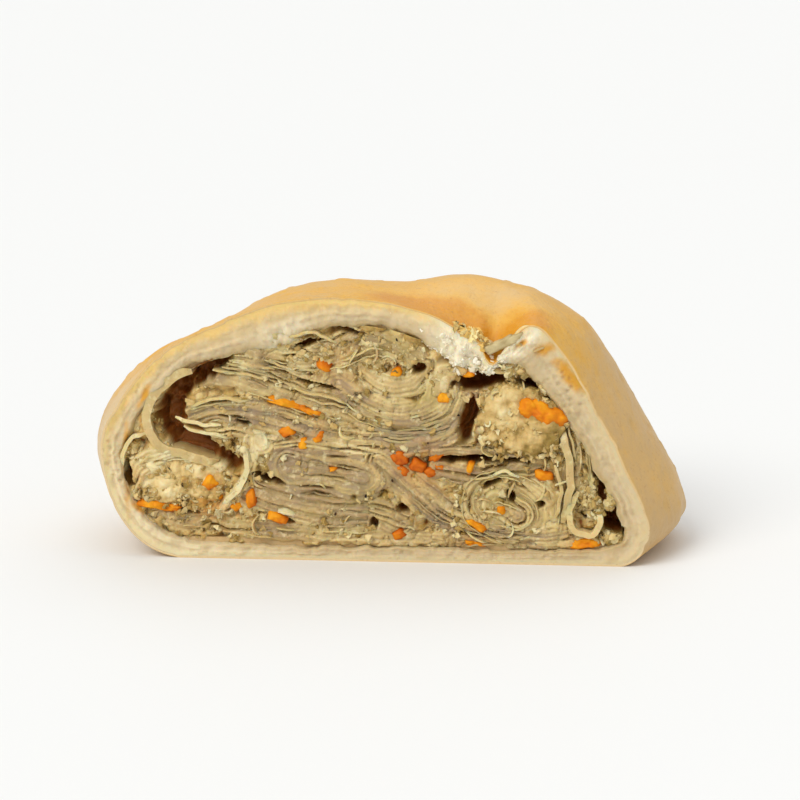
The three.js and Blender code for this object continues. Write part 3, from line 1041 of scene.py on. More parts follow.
# %% Leaves that stand out, and stacks
# Single leaves: knots, tone, thickness, place of the front edge, depth.
SINGLE_LEAVES = [
    ([(-36.8, 38.0), (-40.0, 36.4), (-43.2, 33.8), (-45.2, 30.2), (-44.9, 26.4), (-42.6, 23.6),
      (-39.0, 22.2), (-35, 21.4), (-31.5, 20.2)], 0.55, 1.8, 0.2, 1.7),
    ([(-51.4, 18.6), (-51.2, 22.2), (-49.4, 24.8), (-46.4, 25.6)], 0.85, 0.8, 0.1, 1.6),
    ([(-40.2, 29.3), (-36, 28.4), (-31, 27.6)], 0.9, 0.7, -0.1, 1.0),
    ([(-38.6, 27.2), (-34, 26.2), (-29, 25.4)], 0.85, 0.6, 0.1, 1.0),
    ([(-37.2, 31.2), (-34.6, 32.8), (-31, 33.4), (-25, 32.6)], 0.65, 0.55, 0.1, 1.0),
    ([(-25.2, 26.2), (-22.6, 26.4), (-21.4, 24.4), (-22.4, 22.6)], 0.95, 0.55, -0.1, 1.0),
    ([(-25.8, 23.6), (-25.0, 19), (-26.6, 14.8), (-30.4, 10.6)], 0.95, 1.0, -0.1, 1.0),
    ([(-16.5, 35.4), (-10, 34.0), (-5.5, 32.4)], 0.6, 0.4, 0.1, 1.0),
    ([(-18, 45.4), (-12.5, 47), (-7.5, 44.8)], 0.6, 0.5, 0.2, 1.0),
    ([(38.6, 27.4), (40.2, 21), (40.0, 14), (38.6, 8.4)], 0.55, 1.5, 0.3, 1.2),
    ([(41.4, 15.0), (40.2, 10.6), (41.2, 7.4), (43.8, 6.8), (45.2, 8.8), (44.8, 11.4)],
     0.75, 1.2, 0.1, 1.2),
    ([(36.8, 20.6), (38.1, 15), (37, 9.5)], 0.6, 0.7, 0.1, 1.0),
    ([(23.5, 18.2), (26.5, 19.6), (29.5, 18.2)], 0.85, 0.6, -0.1, 1.0),
]
# Stacks of thick leaves that lie close together: knots of the first leaf, how many, how far apart,
# tone, thickness, place of the front edge.
STACKS = [
    ([(5.4, 29.6), (9.4, 29.0), (13.6, 30.4), (16.4, 33.4), (17.0, 36.2)], 3, -0.7, 0.4, 0.6, 0.7),
    ([(-1.5, 27.6), (6, 27.0), (13, 27.6), (18.4, 29.8)], 4, -0.6, 0.2, 0.5, 0.5),
    ([(-33, 41.2), (-25, 40.6), (-17, 38.2)], 4, -0.8, 0.5, 0.45, 0.6),
]


def stacked_leaves():
    """Leaves side by side, each shifted across the first one's line."""
    leaves = []
    for knots, count, apart, stack_tone, thick, front_y in STACKS:
        first = smooth_line(knots, LEAF_STEP)
        for number in range(count):
            shifted = first + side_normals(first) * apart * number
            ends = leaf_rng.integers(0, 9, 2)
            shifted = smooth_line(shifted[ends[0] : len(shifted) - ends[1] : 3], LEAF_STEP)
            varied = np.clip(stack_tone + leaf_rng.normal(0, 0.1), 0, 1)
            leaves.append((shifted, varied, thick, front_y + leaf_rng.uniform(-0.15, 0.15), 1.0))
    return leaves


print(len(SINGLE_LEAVES), "single leaves and", len(STACKS), "stacks")


# %% One object of edges that holds every leaf's line
BROAD = 1.5  # a leaf that goes deeper than this stands straight


def leaf_web(name, leaves):
    """An object of edges only, with each leaf's tone, thickness and lean on its points."""
    lean_rng = np.random.default_rng(6)
    points, edges, sizes = [], [], []
    for line, tone, thick, front_y, deep in leaves:
        start = len(points)
        ragged = 0.35 * rough(flat(line[:, 0], line[:, 1], start), 2.2, 3, 71)
        crinkle = 0.3 * rough(flat(line[:, 0], line[:, 1], start), 2.4, 2, 72)
        line = line + crinkle[:, None] * side_normals(line)
        from_end = np.minimum(np.arange(len(line)), np.arange(len(line))[::-1]) * LEAF_STEP
        taper = smoothstep(from_end, 0, 1.6)
        lean = lean_rng.normal(0, 0.12) * (deep < BROAD) * side_normals(line)
        for k, (px, pz) in enumerate(line):
            points.append((px, front_y + ragged[k] + 0.8 * (1 - taper[k]), pz))
            thin = thick * (0.55 + 0.45 * taper[k])
            sizes.append((tone, thin * MM, lean[k][0] * MM, deep * MM, lean[k][1] * MM))
        edges += [(start + k, start + k + 1) for k in range(len(line) - 1)]
    mesh = bpy.data.meshes.new(name)
    mesh.from_pydata(place(points), edges, [])
    sizes = np.array(sizes)
    paint(mesh, "tone", sizes[:, 0])
    paint(mesh, "thickness", sizes[:, 1])
    paint(mesh, "back", sizes[:, 2:], "FLOAT_VECTOR")
    return add_object(name, mesh)


single = [(smooth_line(knots, LEAF_STEP), *rest) for knots, *rest in SINGLE_LEAVES]
web = leaf_web("leaf_lines", single + bundle_leaves() + shreds(SHREDS) + stacked_leaves())
print("leaf lines:", len(web.data.vertices), "points,", len(web.data.edges), "edges")


# %% [markdown]
# ## Trees of nodes
#
# Geometry Nodes and materials are both trees of nodes, which could also be drawn by hand in
# Blender's editors. Built in a script they give the same result each time. These helpers add a
# node and link it in one line, give a tree its inputs, and run it on an object.

# %% Helpers for trees of nodes
def feed(tree, socket, value):
    """Links another node's output to an input, or sets the input to a value."""
    if isinstance(value, bpy.types.NodeSocket):
        tree.links.new(value, socket)
    else:
        socket.default_value = value


def add_node(tree, kind, inputs=None, **settings):
    """A node with its settings; inputs maps names to values or to other nodes' outputs."""
    node = tree.nodes.new(kind)
    for key, value in settings.items():
        setattr(node, key, value)
    for key, value in (inputs or {}).items():
        feed(tree, node.inputs[key], value)
    return node


def geometry_tree(name, sizes):
    """A Geometry Nodes tree with a geometry in and out and named inputs for sizes."""
    tree = bpy.data.node_groups.new(name, "GeometryNodeTree")
    tree.interface.new_socket("Geometry", in_out="INPUT", socket_type="NodeSocketGeometry")
    for key, kind in sizes.items():
        tree.interface.new_socket(key, in_out="INPUT", socket_type="NodeSocket" + kind)
    tree.interface.new_socket("Geometry", in_out="OUTPUT", socket_type="NodeSocketGeometry")
    return tree, add_node(tree, "NodeGroupInput"), add_node(tree, "NodeGroupOutput")


def painted_value(tree, name, kind="FLOAT"):
    """The output that reads a value painted on the points."""
    node = add_node(tree, "GeometryNodeInputNamedAttribute", {"Name": name}, data_type=kind)
    return next(s for s in node.outputs if s.enabled and s.name == "Attribute")


# %% Finish a tree and run it
def finish_tree(tree, start, end, geometry):
    """Every tree ends alike: real geometry, with its material."""
    real = add_node(tree, "GeometryNodeRealizeInstances", {"Geometry": geometry})
    dressed = add_node(
        tree, "GeometryNodeSetMaterial",
        {"Geometry": real.outputs["Geometry"], "Material": start.outputs["Material"]},
    )
    tree.links.new(dressed.outputs["Geometry"], end.inputs["Geometry"])


def run_tree(source, tree, values, name):
    """Runs a tree on an object, keeps the result as a plain mesh, and removes the object."""
    modifier = source.modifiers.new(name, "NODES")
    modifier.node_group = tree
    for item in tree.interface.items_tree:
        if item.in_out == "INPUT" and item.name in values:
            modifier[item.identifier] = values[item.name]
    evaluated = source.evaluated_get(bpy.context.evaluated_depsgraph_get())
    mesh = bpy.data.meshes.new_from_object(evaluated)
    source.modifiers.remove(modifier)
    bpy.data.objects.remove(source)
    mesh.name = name
    mesh.calc_loop_triangles()
    mesh.shade_smooth()
    return tell(add_object(name, mesh))


# %% [markdown]
# ## Materials
#
# Food looks like food when light sinks into it a little, when its colour wanders, and when its
# gloss is uneven. Each material reads the values painted on the points, breaks them up with noise
# in Object coordinates, and turns them into colour with a ramp. Three effects are shared as node
# groups: a mottle that varies from place to place, a grain that gives fine relief, and flecks.

# %% Colours, groups and sums for materials
def srgb(*levels):
    """A colour as painters name it, from 0 to 255, turned into Blender's linear values."""
    shares = [level / 255 for level in levels]
    return (*[s / 12.92 if s <= 0.04045 else ((s + 0.055) / 1.055) ** 2.4 for s in shares], 1.0)


print("cream in linear values:", [round(level, 2) for level in srgb(238, 222, 182)])


def shader_group(name, inputs, output):
    """A group of shader nodes with named numbers in, and one number out."""
    tree = bpy.data.node_groups.new(name, "ShaderNodeTree")
    for key, value in inputs.items():
        socket = tree.interface.new_socket(key, in_out="INPUT", socket_type="NodeSocketFloat")
        socket.default_value = value
    tree.interface.new_socket(output, in_out="OUTPUT", socket_type="NodeSocketFloat")
    return tree, add_node(tree, "NodeGroupInput"), add_node(tree, "NodeGroupOutput")


def math_node(tree, operation, a, b=0.0, clamp=False):
    """The output of one sum."""
    node = add_node(tree, "ShaderNodeMath", {0: a, 1: b}, operation=operation, use_clamp=clamp)
    return node.outputs[0]


def noise_node(tree, size, detail=3.0, roughness=0.55):
    """Noise with bumps size millimetres apart; size may be a group's input."""
    where = add_node(tree, "ShaderNodeTexCoord").outputs["Object"]
    scale = math_node(tree, "DIVIDE", 1 / MM, size)
    return add_node(
        tree, "ShaderNodeTexNoise",
        {"Vector": where, "Scale": scale, "Detail": detail, "Roughness": roughness},
    ).outputs["Fac"]


# %% The three shared effects
def mottle_group():
    """Value goes in, and comes out moved up and down by coarse and fine noise."""
    tree, start, end = shader_group(
        "mottle", {"Value": 0.5, "Coarse size": 6, "Fine size": 1.2, "Coarse": 0.3, "Fine": 0.15},
        "Value",
    )
    total = start.outputs["Value"]
    for kind in ("Coarse", "Fine"):
        wave = math_node(tree, "SUBTRACT", noise_node(tree, start.outputs[kind + " size"]), 0.5)
        amount = math_node(tree, "MULTIPLY", wave, start.outputs[kind])
        total = math_node(tree, "ADD", total, math_node(tree, "MULTIPLY", amount, 2.0))
    tree.links.new(math_node(tree, "ADD", total, 0.0, clamp=True), end.inputs["Value"])
    return tree


def grain_group():
    """Height of a fine, slightly pitted surface."""
    tree, start, end = shader_group("grain", {"Size": 0.8, "Pits": 0.4}, "Height")
    bumps = noise_node(tree, start.outputs["Size"], 4.0, 0.6)
    where = add_node(tree, "ShaderNodeTexCoord").outputs["Object"]
    scale = math_node(tree, "DIVIDE", 0.7 / MM, start.outputs["Size"])
    cell = add_node(tree, "ShaderNodeTexVoronoi", {"Vector": where, "Scale": scale})
    pit = math_node(tree, "SUBTRACT", 0.35, cell.outputs["Distance"], clamp=True)
    pits = math_node(tree, "MULTIPLY", pit, start.outputs["Pits"])
    tree.links.new(math_node(tree, "SUBTRACT", bumps, pits), end.inputs["Height"])
    return tree


def fleck_group():
    """Mask of scattered flecks; Amount is how much of the surface they take."""
    tree, start, end = shader_group("flecks", {"Size": 1.0, "Amount": 0.3}, "Mask")
    spots = noise_node(tree, start.outputs["Size"], 2.5, 0.6)
    lowered = math_node(tree, "MULTIPLY", start.outputs["Amount"], 0.5)
    limit = math_node(tree, "SUBTRACT", 0.78, lowered)
    above = math_node(tree, "MULTIPLY", math_node(tree, "SUBTRACT", spots, limit), 9.0, clamp=True)
    tree.links.new(above, end.inputs["Mask"])
    return tree


MOTTLE, GRAIN, FLECKS = mottle_group(), grain_group(), fleck_group()
print("shared effects:", [group.name for group in (MOTTLE, GRAIN, FLECKS)])


# %% Painted values and colours in a material
def attribute(tree, name):
    """A value that was painted on the points."""
    return add_node(tree, "ShaderNodeAttribute", attribute_name=name).outputs["Fac"]


def mottled(tree, name, coarse_size, fine_size, coarse, fine):
    """A painted value that varies from place to place."""
    amounts = {
        "Value": attribute(tree, name), "Coarse size": coarse_size, "Fine size": fine_size,
        "Coarse": coarse, "Fine": fine,
    }
    return add_node(tree, "ShaderNodeGroup", node_tree=MOTTLE, inputs=amounts).outputs[0]


def grain(tree, size, pits):
    """Height of the fine relief."""
    inputs = {"Size": size, "Pits": pits}
    return add_node(tree, "ShaderNodeGroup", node_tree=GRAIN, inputs=inputs).outputs[0]


def flecks(tree, size, amount):
    """Mask of scattered flecks."""
    inputs = {"Size": size, "Amount": amount}
    return add_node(tree, "ShaderNodeGroup", node_tree=FLECKS, inputs=inputs).outputs[0]


def ramp(tree, value, stops):
    """Colours along a value from 0 to 1."""
    node = add_node(tree, "ShaderNodeValToRGB", {"Fac": value})
    elements = node.color_ramp.elements
    while len(elements) < len(stops):
        elements.new(0.5)
    for element, (position, colour) in zip(elements, stops):
        element.position, element.color = position, srgb(*colour)
    return node.outputs["Color"]


def blend(tree, amount, below, above):
    """One colour over another, as far as the amount says."""
    node = add_node(tree, "ShaderNodeMix", data_type="RGBA", blend_type="MIX")
    sockets = [s for s in node.inputs if s.enabled]
    for socket, value in zip(sockets, (amount, below, above)):
        feed(tree, socket, value)
    return next(s for s in node.outputs if s.enabled)


def cover(tree, below, mask, share, colour):
    """A plain colour over another; the mask says where and the share how strongly."""
    return blend(tree, math_node(tree, "MULTIPLY", mask, share), below, srgb(*colour))


def scaled(tree, value, low, high):
    """A value from 0 to 1 turned into one from low to high."""
    return math_node(tree, "ADD", math_node(tree, "MULTIPLY", value, high - low), low)


# %% Start and finish a material
def food_material(name, scatter, scatter_reach, coat=0.0, specular=0.22):
    """A material whose light sinks in: scatter is the share, scatter_reach the depth in mm."""
    material = bpy.data.materials.new(name)
    material.use_nodes = True
    tree = material.node_tree
    surface = tree.nodes["Principled BSDF"]
    settings = {
        "Subsurface Weight": scatter, "Subsurface Radius": (1.0, 0.55, 0.25),
        "Subsurface Scale": scatter_reach * MM, "Specular IOR Level": specular,
        "Coat Weight": coat, "Coat Roughness": 0.25,
    }
    for key, value in settings.items():
        surface.inputs[key].default_value = value
    return material, tree, surface


def connect(tree, surface, colour, roughness, height, relief_mm):
    """Gives a surface its colour, roughness and fine relief."""
    relief = {"Height": height, "Strength": 1.0, "Distance": relief_mm * MM}
    tree.links.new(colour, surface.inputs["Base Color"])
    tree.links.new(roughness, surface.inputs["Roughness"])
    bump = add_node(tree, "ShaderNodeBump", relief)
    tree.links.new(bump.outputs["Normal"], surface.inputs["Normal"])


# %% [markdown]
# The skin goes from pale flour to golden and brown as it bakes. A few dark blisters are noise cut
# off high, and the creases of the folded end stay pale because they are thicker dough. The same
# pale colour lays a painted highlight on the bump beside the seam.

# %% Material of the browned skin
BAKE_COLOURS = [
    (0.0, (208, 180, 130)), (0.25, (206, 170, 114)), (0.5, (216, 174, 104)),
    (0.75, (226, 171, 62)), (1.0, (216, 146, 18)),
]


def skin_material():
    """Baked dough: the browner, the glossier."""
    material, tree, surface = food_material("baked_skin", 0.05, 1.0, coat=0.13, specular=0.32)
    baked = mottled(tree, "bake", 8, 1.4, 0.24, 0.14)
    colour = ramp(tree, baked, BAKE_COLOURS)
    # The crease value also holds the painted highlight on the bump beside the seam.
    colour = cover(tree, colour, attribute(tree, "crease"), 0.4, (222, 200, 158))
    colour = cover(tree, colour, flecks(tree, 3.4, 0.1), 0.55, (168, 102, 40))  # blisters
    colour = cover(tree, colour, flecks(tree, 0.8, 0.38), 0.3, (178, 124, 66))  # fine speckle
    connect(tree, surface, colour, scaled(tree, baked, 0.6, 0.38), grain(tree, 1.3, 0.5), 0.28)
    return material


skin.data.materials.append(skin_material())
print(skin.name, "wears", skin.data.materials[0].name)


# %% [markdown]
# The cut dough is cream, a little yellower beside the skin and a little moister beside the
# filling, and its pores get painted shade. The filling's leaves run from grey-mauve to ivory, its
# mince is golden beige, and the gaps between leaves, the cracks and the hollows get painted shade
# in brown and olive. The same leaf colours serve the core and the separate leaves.

# %% Material of the cut dough
DOUGH_COLOURS = [
    (0.0, (244, 202, 126)), (0.16, (238, 202, 132)), (0.34, (223, 199, 151)),
    (0.7, (207, 187, 149)), (1.0, (192, 169, 122)),
]


def dough_material():
    """Soft pale dough; across runs from the skin to the filling."""
    material, tree, surface = food_material("cut_dough", 0.45, 2.0)
    across_it = mottled(tree, "across", 5, 0.9, 0.22, 0.1)
    # Painted shade in the pores, and darker layer streaks.
    darker = math_node(tree, "MAXIMUM", attribute(tree, "pore"), attribute(tree, "layer"))
    colour = ramp(tree, across_it, DOUGH_COLOURS)
    colour = cover(tree, colour, attribute(tree, "pale"), 0.6, (238, 222, 182))
    colour = blend(tree, attribute(tree, "torn"), colour, srgb(242, 230, 198))
    # Golden toast patches; the long one on the right edge is partly painted shade.
    colour = cover(tree, colour, attribute(tree, "toast_and_shade"), 0.95, (212, 152, 44))
    colour = cover(tree, colour, darker, 0.28, (192, 162, 110))
    connect(tree, surface, colour, scaled(tree, across_it, 0.75, 0.6), grain(tree, 0.6, 0.8), 0.16)
    return material


dough.data.materials.append(dough_material())
print(dough.name, "wears", dough.data.materials[0].name)

# %% Colours of leaf and mince
LEAF_COLOURS = [
    (0.0, (162, 138, 106)), (0.25, (182, 156, 110)), (0.5, (201, 174, 119)),
    (0.75, (220, 196, 138)), (1.0, (238, 220, 172)),
]
MINCE_COLOURS = [
    (0.0, (160, 132, 66)), (0.3, (204, 170, 104)), (0.6, (225, 196, 133)), (1.0, (238, 220, 168)),
]


def leaf_colour(tree):
    """Tone and colour of cooked cabbage, with pale and dark flecks and a little green."""
    toned = mottled(tree, "tone", 5, 1.1, 0.22, 0.12)
    green = math_node(tree, "SUBTRACT", noise_node(tree, 8.0, 2.0), 0.5, clamp=True)
    colour = ramp(tree, toned, LEAF_COLOURS)
    colour = cover(tree, colour, flecks(tree, 1.6, 0.42), 0.5, (232, 216, 170))
    colour = cover(tree, colour, flecks(tree, 0.9, 0.36), 0.45, (140, 110, 58))
    return toned, cover(tree, colour, green, 0.9, (184, 168, 96))


def mince_colour(tree):
    """Golden beige with dark flecks."""
    colour = ramp(tree, mottled(tree, "tone", 4, 0.8, 0.2, 0.2), MINCE_COLOURS)
    return cover(tree, colour, flecks(tree, 1.2, 0.36), 0.4, (158, 116, 58))


# %% Materials of the leaves and of the mass behind them
GAP_SHADE_COLOURS = [(0.0, (176, 146, 86)), (0.5, (152, 116, 54)), (1.0, (150, 88, 32))]
TINTS = {"gold": (224, 158, 74), "olive": (164, 150, 74)}


def leaf_material():
    """Moist leaf, so it has a coat."""
    material, tree, surface = food_material("cooked_leaf", 0.55, 2.0, coat=0.14)
    toned, colour = leaf_colour(tree)
    connect(tree, surface, colour, scaled(tree, toned, 0.34, 0.5), grain(tree, 0.7, 0.2), 0.1)
    return material


def filling_material():
    """Leaf and mince side by side, tinted in places, with painted shade in the gaps."""
    material, tree, surface = food_material("filling_mass", 0.45, 1.8, coat=0.1)
    toned, colour = leaf_colour(tree)
    colour = blend(tree, attribute(tree, "mince"), colour, mince_colour(tree))
    for painted, tint in TINTS.items():
        colour = cover(tree, colour, attribute(tree, painted), 0.6, tint)
    # Painted shade in the gaps, hollows and cracks, darker where they are deeper.
    dark = mottled(tree, "gap_shade", 4, 1.0, 0.1, 0.1)
    colour = blend(tree, dark, colour, ramp(tree, dark, GAP_SHADE_COLOURS))
    connect(tree, surface, colour, scaled(tree, toned, 0.4, 0.6), grain(tree, 0.55, 0.5), 0.18)
    return material


core.data.materials.append(filling_material())
LEAF_LOOK = leaf_material()
print(core.name, "wears", core.data.materials[0].name)


# %% Materials of the small pieces
def plain_food(name, stops, grain_size, relief_mm, scatter, wet, coarse=3.0):
    """A single kind of morsel: carrot, crumb or pepper."""
    material, tree, surface = food_material(name, scatter, 1.2, coat=wet)
    value = mottled(tree, "tone", coarse, 0.6, 0.25, 0.15)
    roughness = scaled(tree, value, 0.6 - wet, 0.75 - wet)
    connect(tree, surface, ramp(tree, value, stops), roughness, grain(tree, grain_size, 0.4), relief_mm)
    return material


CARROT_COLOURS = [(0.0, (180, 76, 0)), (0.35, (212, 110, 2)), (0.7, (230, 140, 4)), (1.0, (238, 164, 26))]
CARROT_LOOK = plain_food(
    "cooked_carrot", CARROT_COLOURS, grain_size=0.6, relief_mm=0.12, scatter=0.1, wet=0.05
)
MINCE_LOOK = plain_food(
    "crumbly_mince", MINCE_COLOURS, grain_size=0.7, relief_mm=0.3, scatter=0.25, wet=0.05, coarse=2.0
)
CRUMB_LOOK = plain_food(
    "white_crumb", [(0.0, (240, 226, 190)), (0.5, (248, 238, 210)), (1.0, (252, 246, 228))],
    grain_size=0.5, relief_mm=0.12, scatter=0.0, wet=0.0,
)
FLAKE_LOOK = plain_food(
    "golden_flake", [(0.0, (224, 174, 84)), (0.5, (244, 206, 122)), (1.0, (252, 232, 166))],
    grain_size=0.6, relief_mm=0.08, scatter=0.15, wet=0.1,
)
HERB_LOOK = plain_food(
    "dried_herb", [(0.0, (120, 98, 54)), (0.5, (164, 142, 94)), (1.0, (206, 188, 140))],
    grain_size=0.5, relief_mm=0.08, scatter=0.05, wet=0.05,
)
PEPPER_LOOK = plain_food(
    "pepper", [(0.0, (30, 20, 12)), (1.0, (84, 60, 38))],
    grain_size=0.4, relief_mm=0.05, scatter=0.0, wet=0.0,
)
small_looks = (CARROT_LOOK, MINCE_LOOK, CRUMB_LOOK, FLAKE_LOOK, HERB_LOOK, PEPPER_LOOK)
print("small pieces:", [look.name for look in small_looks])


# %% [markdown]
# The lines of edges that were laid out above now become sheets. An edge pulled back gives a strip
# of faces, and a second pull lets the strip go deeper. Pulling those faces out by the leaf's
# thickness gives the other side, and merging the seams closes the sheet.

# %% Geometry Nodes that turn lines into sheets
PULLS = {"First pull": 1.2, "Second pull": 3.6}  # times each leaf's own depth
MERGE_DISTANCE = 0.002 * MM


def sheet_tree():
    """Each line is pulled back twice, thickened and closed."""
    tree, start, end = geometry_tree(
        "leaf sheets", {"First pull": "Float", "Second pull": "Float", "Material": "Material"}
    )
    back = painted_value(tree, "back", "FLOAT_VECTOR")
    pulled = add_node(
        tree, "GeometryNodeExtrudeMesh",
        {"Mesh": start.outputs["Geometry"], "Offset": back, "Offset Scale": start.outputs["First pull"]},
        mode="EDGES",
    )
    again = add_node(
        tree, "GeometryNodeExtrudeMesh",
        {"Mesh": pulled.outputs["Mesh"], "Selection": pulled.outputs["Top"], "Offset": back,
         "Offset Scale": start.outputs["Second pull"]},
        mode="EDGES",
    )
    thicker = add_node(
        tree, "GeometryNodeExtrudeMesh",
        {"Mesh": again.outputs["Mesh"], "Offset Scale": painted_value(tree, "thickness"),
         "Individual": False},
        mode="FACES",
    )
    other_side = add_node(tree, "GeometryNodeFlipFaces", {"Mesh": again.outputs["Mesh"]})
    both = add_node(tree, "GeometryNodeJoinGeometry")
    tree.links.new(other_side.outputs["Mesh"], both.inputs["Geometry"])
    tree.links.new(thicker.outputs["Mesh"], both.inputs["Geometry"])
    closed = add_node(
        tree, "GeometryNodeMergeByDistance",
        {"Geometry": both.outputs["Geometry"], "Distance": MERGE_DISTANCE},
    )
    finish_tree(tree, start, end, closed.outputs["Geometry"])
    return tree


leaves = run_tree(web, sheet_tree(), {**PULLS, "Material": LEAF_LOOK}, "cabbage_leaves")
sharpen(leaves, 50)

# %% [markdown]
# ## Chunks cut by the knife
#
# Two chunks of crumbly mince and some thirty pieces of carrot show in the cut. Each is a closed
# lump: an outline in the cut plane, a slightly rounded and pitted face, and sides that taper back
# into the filling. The outline is drawn with a few knots, or for a small piece it is a rounded
# bar with a length, a width and a tilt.

# %% A closed lump behind an outline
LUMP_STEP = 0.45
# How the sides run back: share of the lump's depth, size against the outline.
SIDES = [(0.35, 1.03), (0.7, 0.97), (1.0, 0.7)]


def lump(outline, front_y, depth_back, crumble, seed):
    """Points and faces of a closed lump behind an outline."""
    centre, count = outline.mean(axis=0), len(outline)
    rings = []
    steps = max(3, round(np.abs(outline - centre).max() / LUMP_STEP))
    for share_out in np.linspace(1, 0, steps, endpoint=False)[::-1]:
        x, z = (centre + (outline - centre) * share_out).T
        bumps = rough(flat(x, z), 3.6, 4, seed)
        pits, _ = cells(x + 0.4 * bumps, z, 2.5, seed)
        fine_pits, _ = cells(x, z, 1.0, seed)
        y = front_y + 0.8 * share_out**5
        y = y + crumble * (0.8 * bumps + 1.7 * pits + 0.9 * fine_pits - 0.9)
        rings.append(np.stack([x, y, z], 1))
    for share_back, size in SIDES:
        ring_xz = centre + (outline - centre) * size
        ragged = rough(flat(ring_xz[:, 0], ring_xz[:, 1], share_back * 4), 1.8, 2, seed + 3)
        x, z = (ring_xz + crumble * 0.5 * ragged[:, None]).T
        rings.append(np.stack([x, np.full(count, front_y + 0.7 + depth_back * share_back), z], 1))
    front_pole = [[centre[0], rings[0][:, 1].mean(), centre[1]]]
    back_pole = [[centre[0], front_y + 1 + depth_back, centre[1]]]
    points = np.concatenate([front_pole, np.concatenate(rings), back_pole])
    faces = cap_faces(1, count, 0)
    faces += list(1 + grid_faces(len(rings), count)[:, ::-1])
    faces += [f[::-1] for f in cap_faces(1 + (len(rings) - 1) * count, count, len(points) - 1)]
    return points, faces


# %% The outline of a small bar
BAR_STEP = 0.5
SQUARENESS = 0.55  # 1 is an oval; the lower, the squarer the ends
THIN = 1.6  # wider bars are less ragged for their width


def bar_outline(x, z, length, width, tilt, seed):
    """A rounded bar, made uneven."""
    count = max(14, round(2.2 * (length + width) / BAR_STEP))
    turn = np.linspace(0, 2 * np.pi, count, endpoint=False)
    c, s = np.cos(turn), np.sin(turn)
    bar_x = length / 2 * np.sign(c) * np.abs(c) ** SQUARENESS
    bar_z = width / 2 * np.sign(s) * np.abs(s) ** SQUARENESS
    uneven = 0.42 * THIN / max(width, THIN)
    swell = 1 + uneven * rough(flat(bar_x + x, bar_z + z), 1.5, 4, seed)
    a = math.radians(tilt)
    return np.stack([
        x + swell * (math.cos(a) * bar_x - math.sin(a) * bar_z),
        z + swell * (math.sin(a) * bar_x + math.cos(a) * bar_z),
    ], axis=1)


# %% One piece of several lumps
# Painted light: each lump is lighter towards the upper left and darker towards the lower right.
PAINTED_LIGHT_UP_LEFT = 0.026  # how much the tone rises for each millimetre towards the upper left


def join_lumps(name, lumps, lump_tones, look, painted_light_slope=PAINTED_LIGHT_UP_LEFT):
    """All lumps of a kind in one piece, each with its own tone, painted shade where it is sunk and painted
    light towards the upper left.
    """
    points, faces, tones, start = [], [], [], 0
    for (lump_points, lump_faces), lump_tone in zip(lumps, lump_tones):
        points.append(lump_points)
        faces += [tuple(int(i) + start for i in f) for f in lump_faces]
        start += len(lump_points)
        uneven = rough(lump_points, 2.4, 3, 78)
        sunk = lump_points[:, 1] - np.median(lump_points[:, 1][: len(lump_points) // 2])
        from_middle = lump_points - lump_points.mean(axis=0)
        # Painted light towards the upper left, and painted shade where the face is sunk.
        tone = lump_tone + painted_light_slope * (from_middle[:, 2] - from_middle[:, 0])
        tones.append(np.clip(tone + 0.32 * uneven - 0.3 * np.clip(sunk, -0.6, 1), 0, 1))
    piece = make_piece(name, np.concatenate(points), faces, {"tone": np.concatenate(tones)})
    piece.data.materials.append(look)
    return piece


# %% Two chunks of mince
# Knots of the outline, height of the front, depth back, how crumbly, tone.
CHUNKS = [
    ([(20.6, 29.4), (21.9, 31.2), (22.6, 33.9), (24.6, 35.0), (26.4, 36.6), (29.3, 35.9), (31.5, 36.0),
      (34.0, 33.9), (36.1, 33.2), (37.4, 30.6), (38.4, 28), (37.2, 25.8), (37.4, 23.4), (34.2, 23.0),
      (31.4, 21.4), (28.2, 22.6), (25.4, 22.2), (24.2, 24.2), (21.8, 25.2), (22.0, 27.4)],
     -0.2, 6, 0.65, 0.36),
    ([(-48.6, 16.8), (-47.2, 19.6), (-44.4, 19.9), (-41.4, 21.2), (-38.8, 20.1), (-35.4, 20.6),
      (-32.6, 18.6), (-29.9, 17.4), (-31.4, 14.2), (-35, 11.6), (-38.2, 12.4), (-41, 11.0), (-46.6, 12.6)],
     0.3, 6, 0.6, 0.62),
]
CHUNK_SEED, CARROT_SEED, SLIVER_SEED = 81, 90, 60
chunk_lumps = [
    lump(smooth_line(knots, 0.4, closed=True), front_y, deep, crumble, CHUNK_SEED + k)
    for k, (knots, front_y, deep, crumble, _tone) in enumerate(CHUNKS)
]
chunks = join_lumps("mince_chunks", chunk_lumps, [row[-1] for row in CHUNKS], MINCE_LOOK)

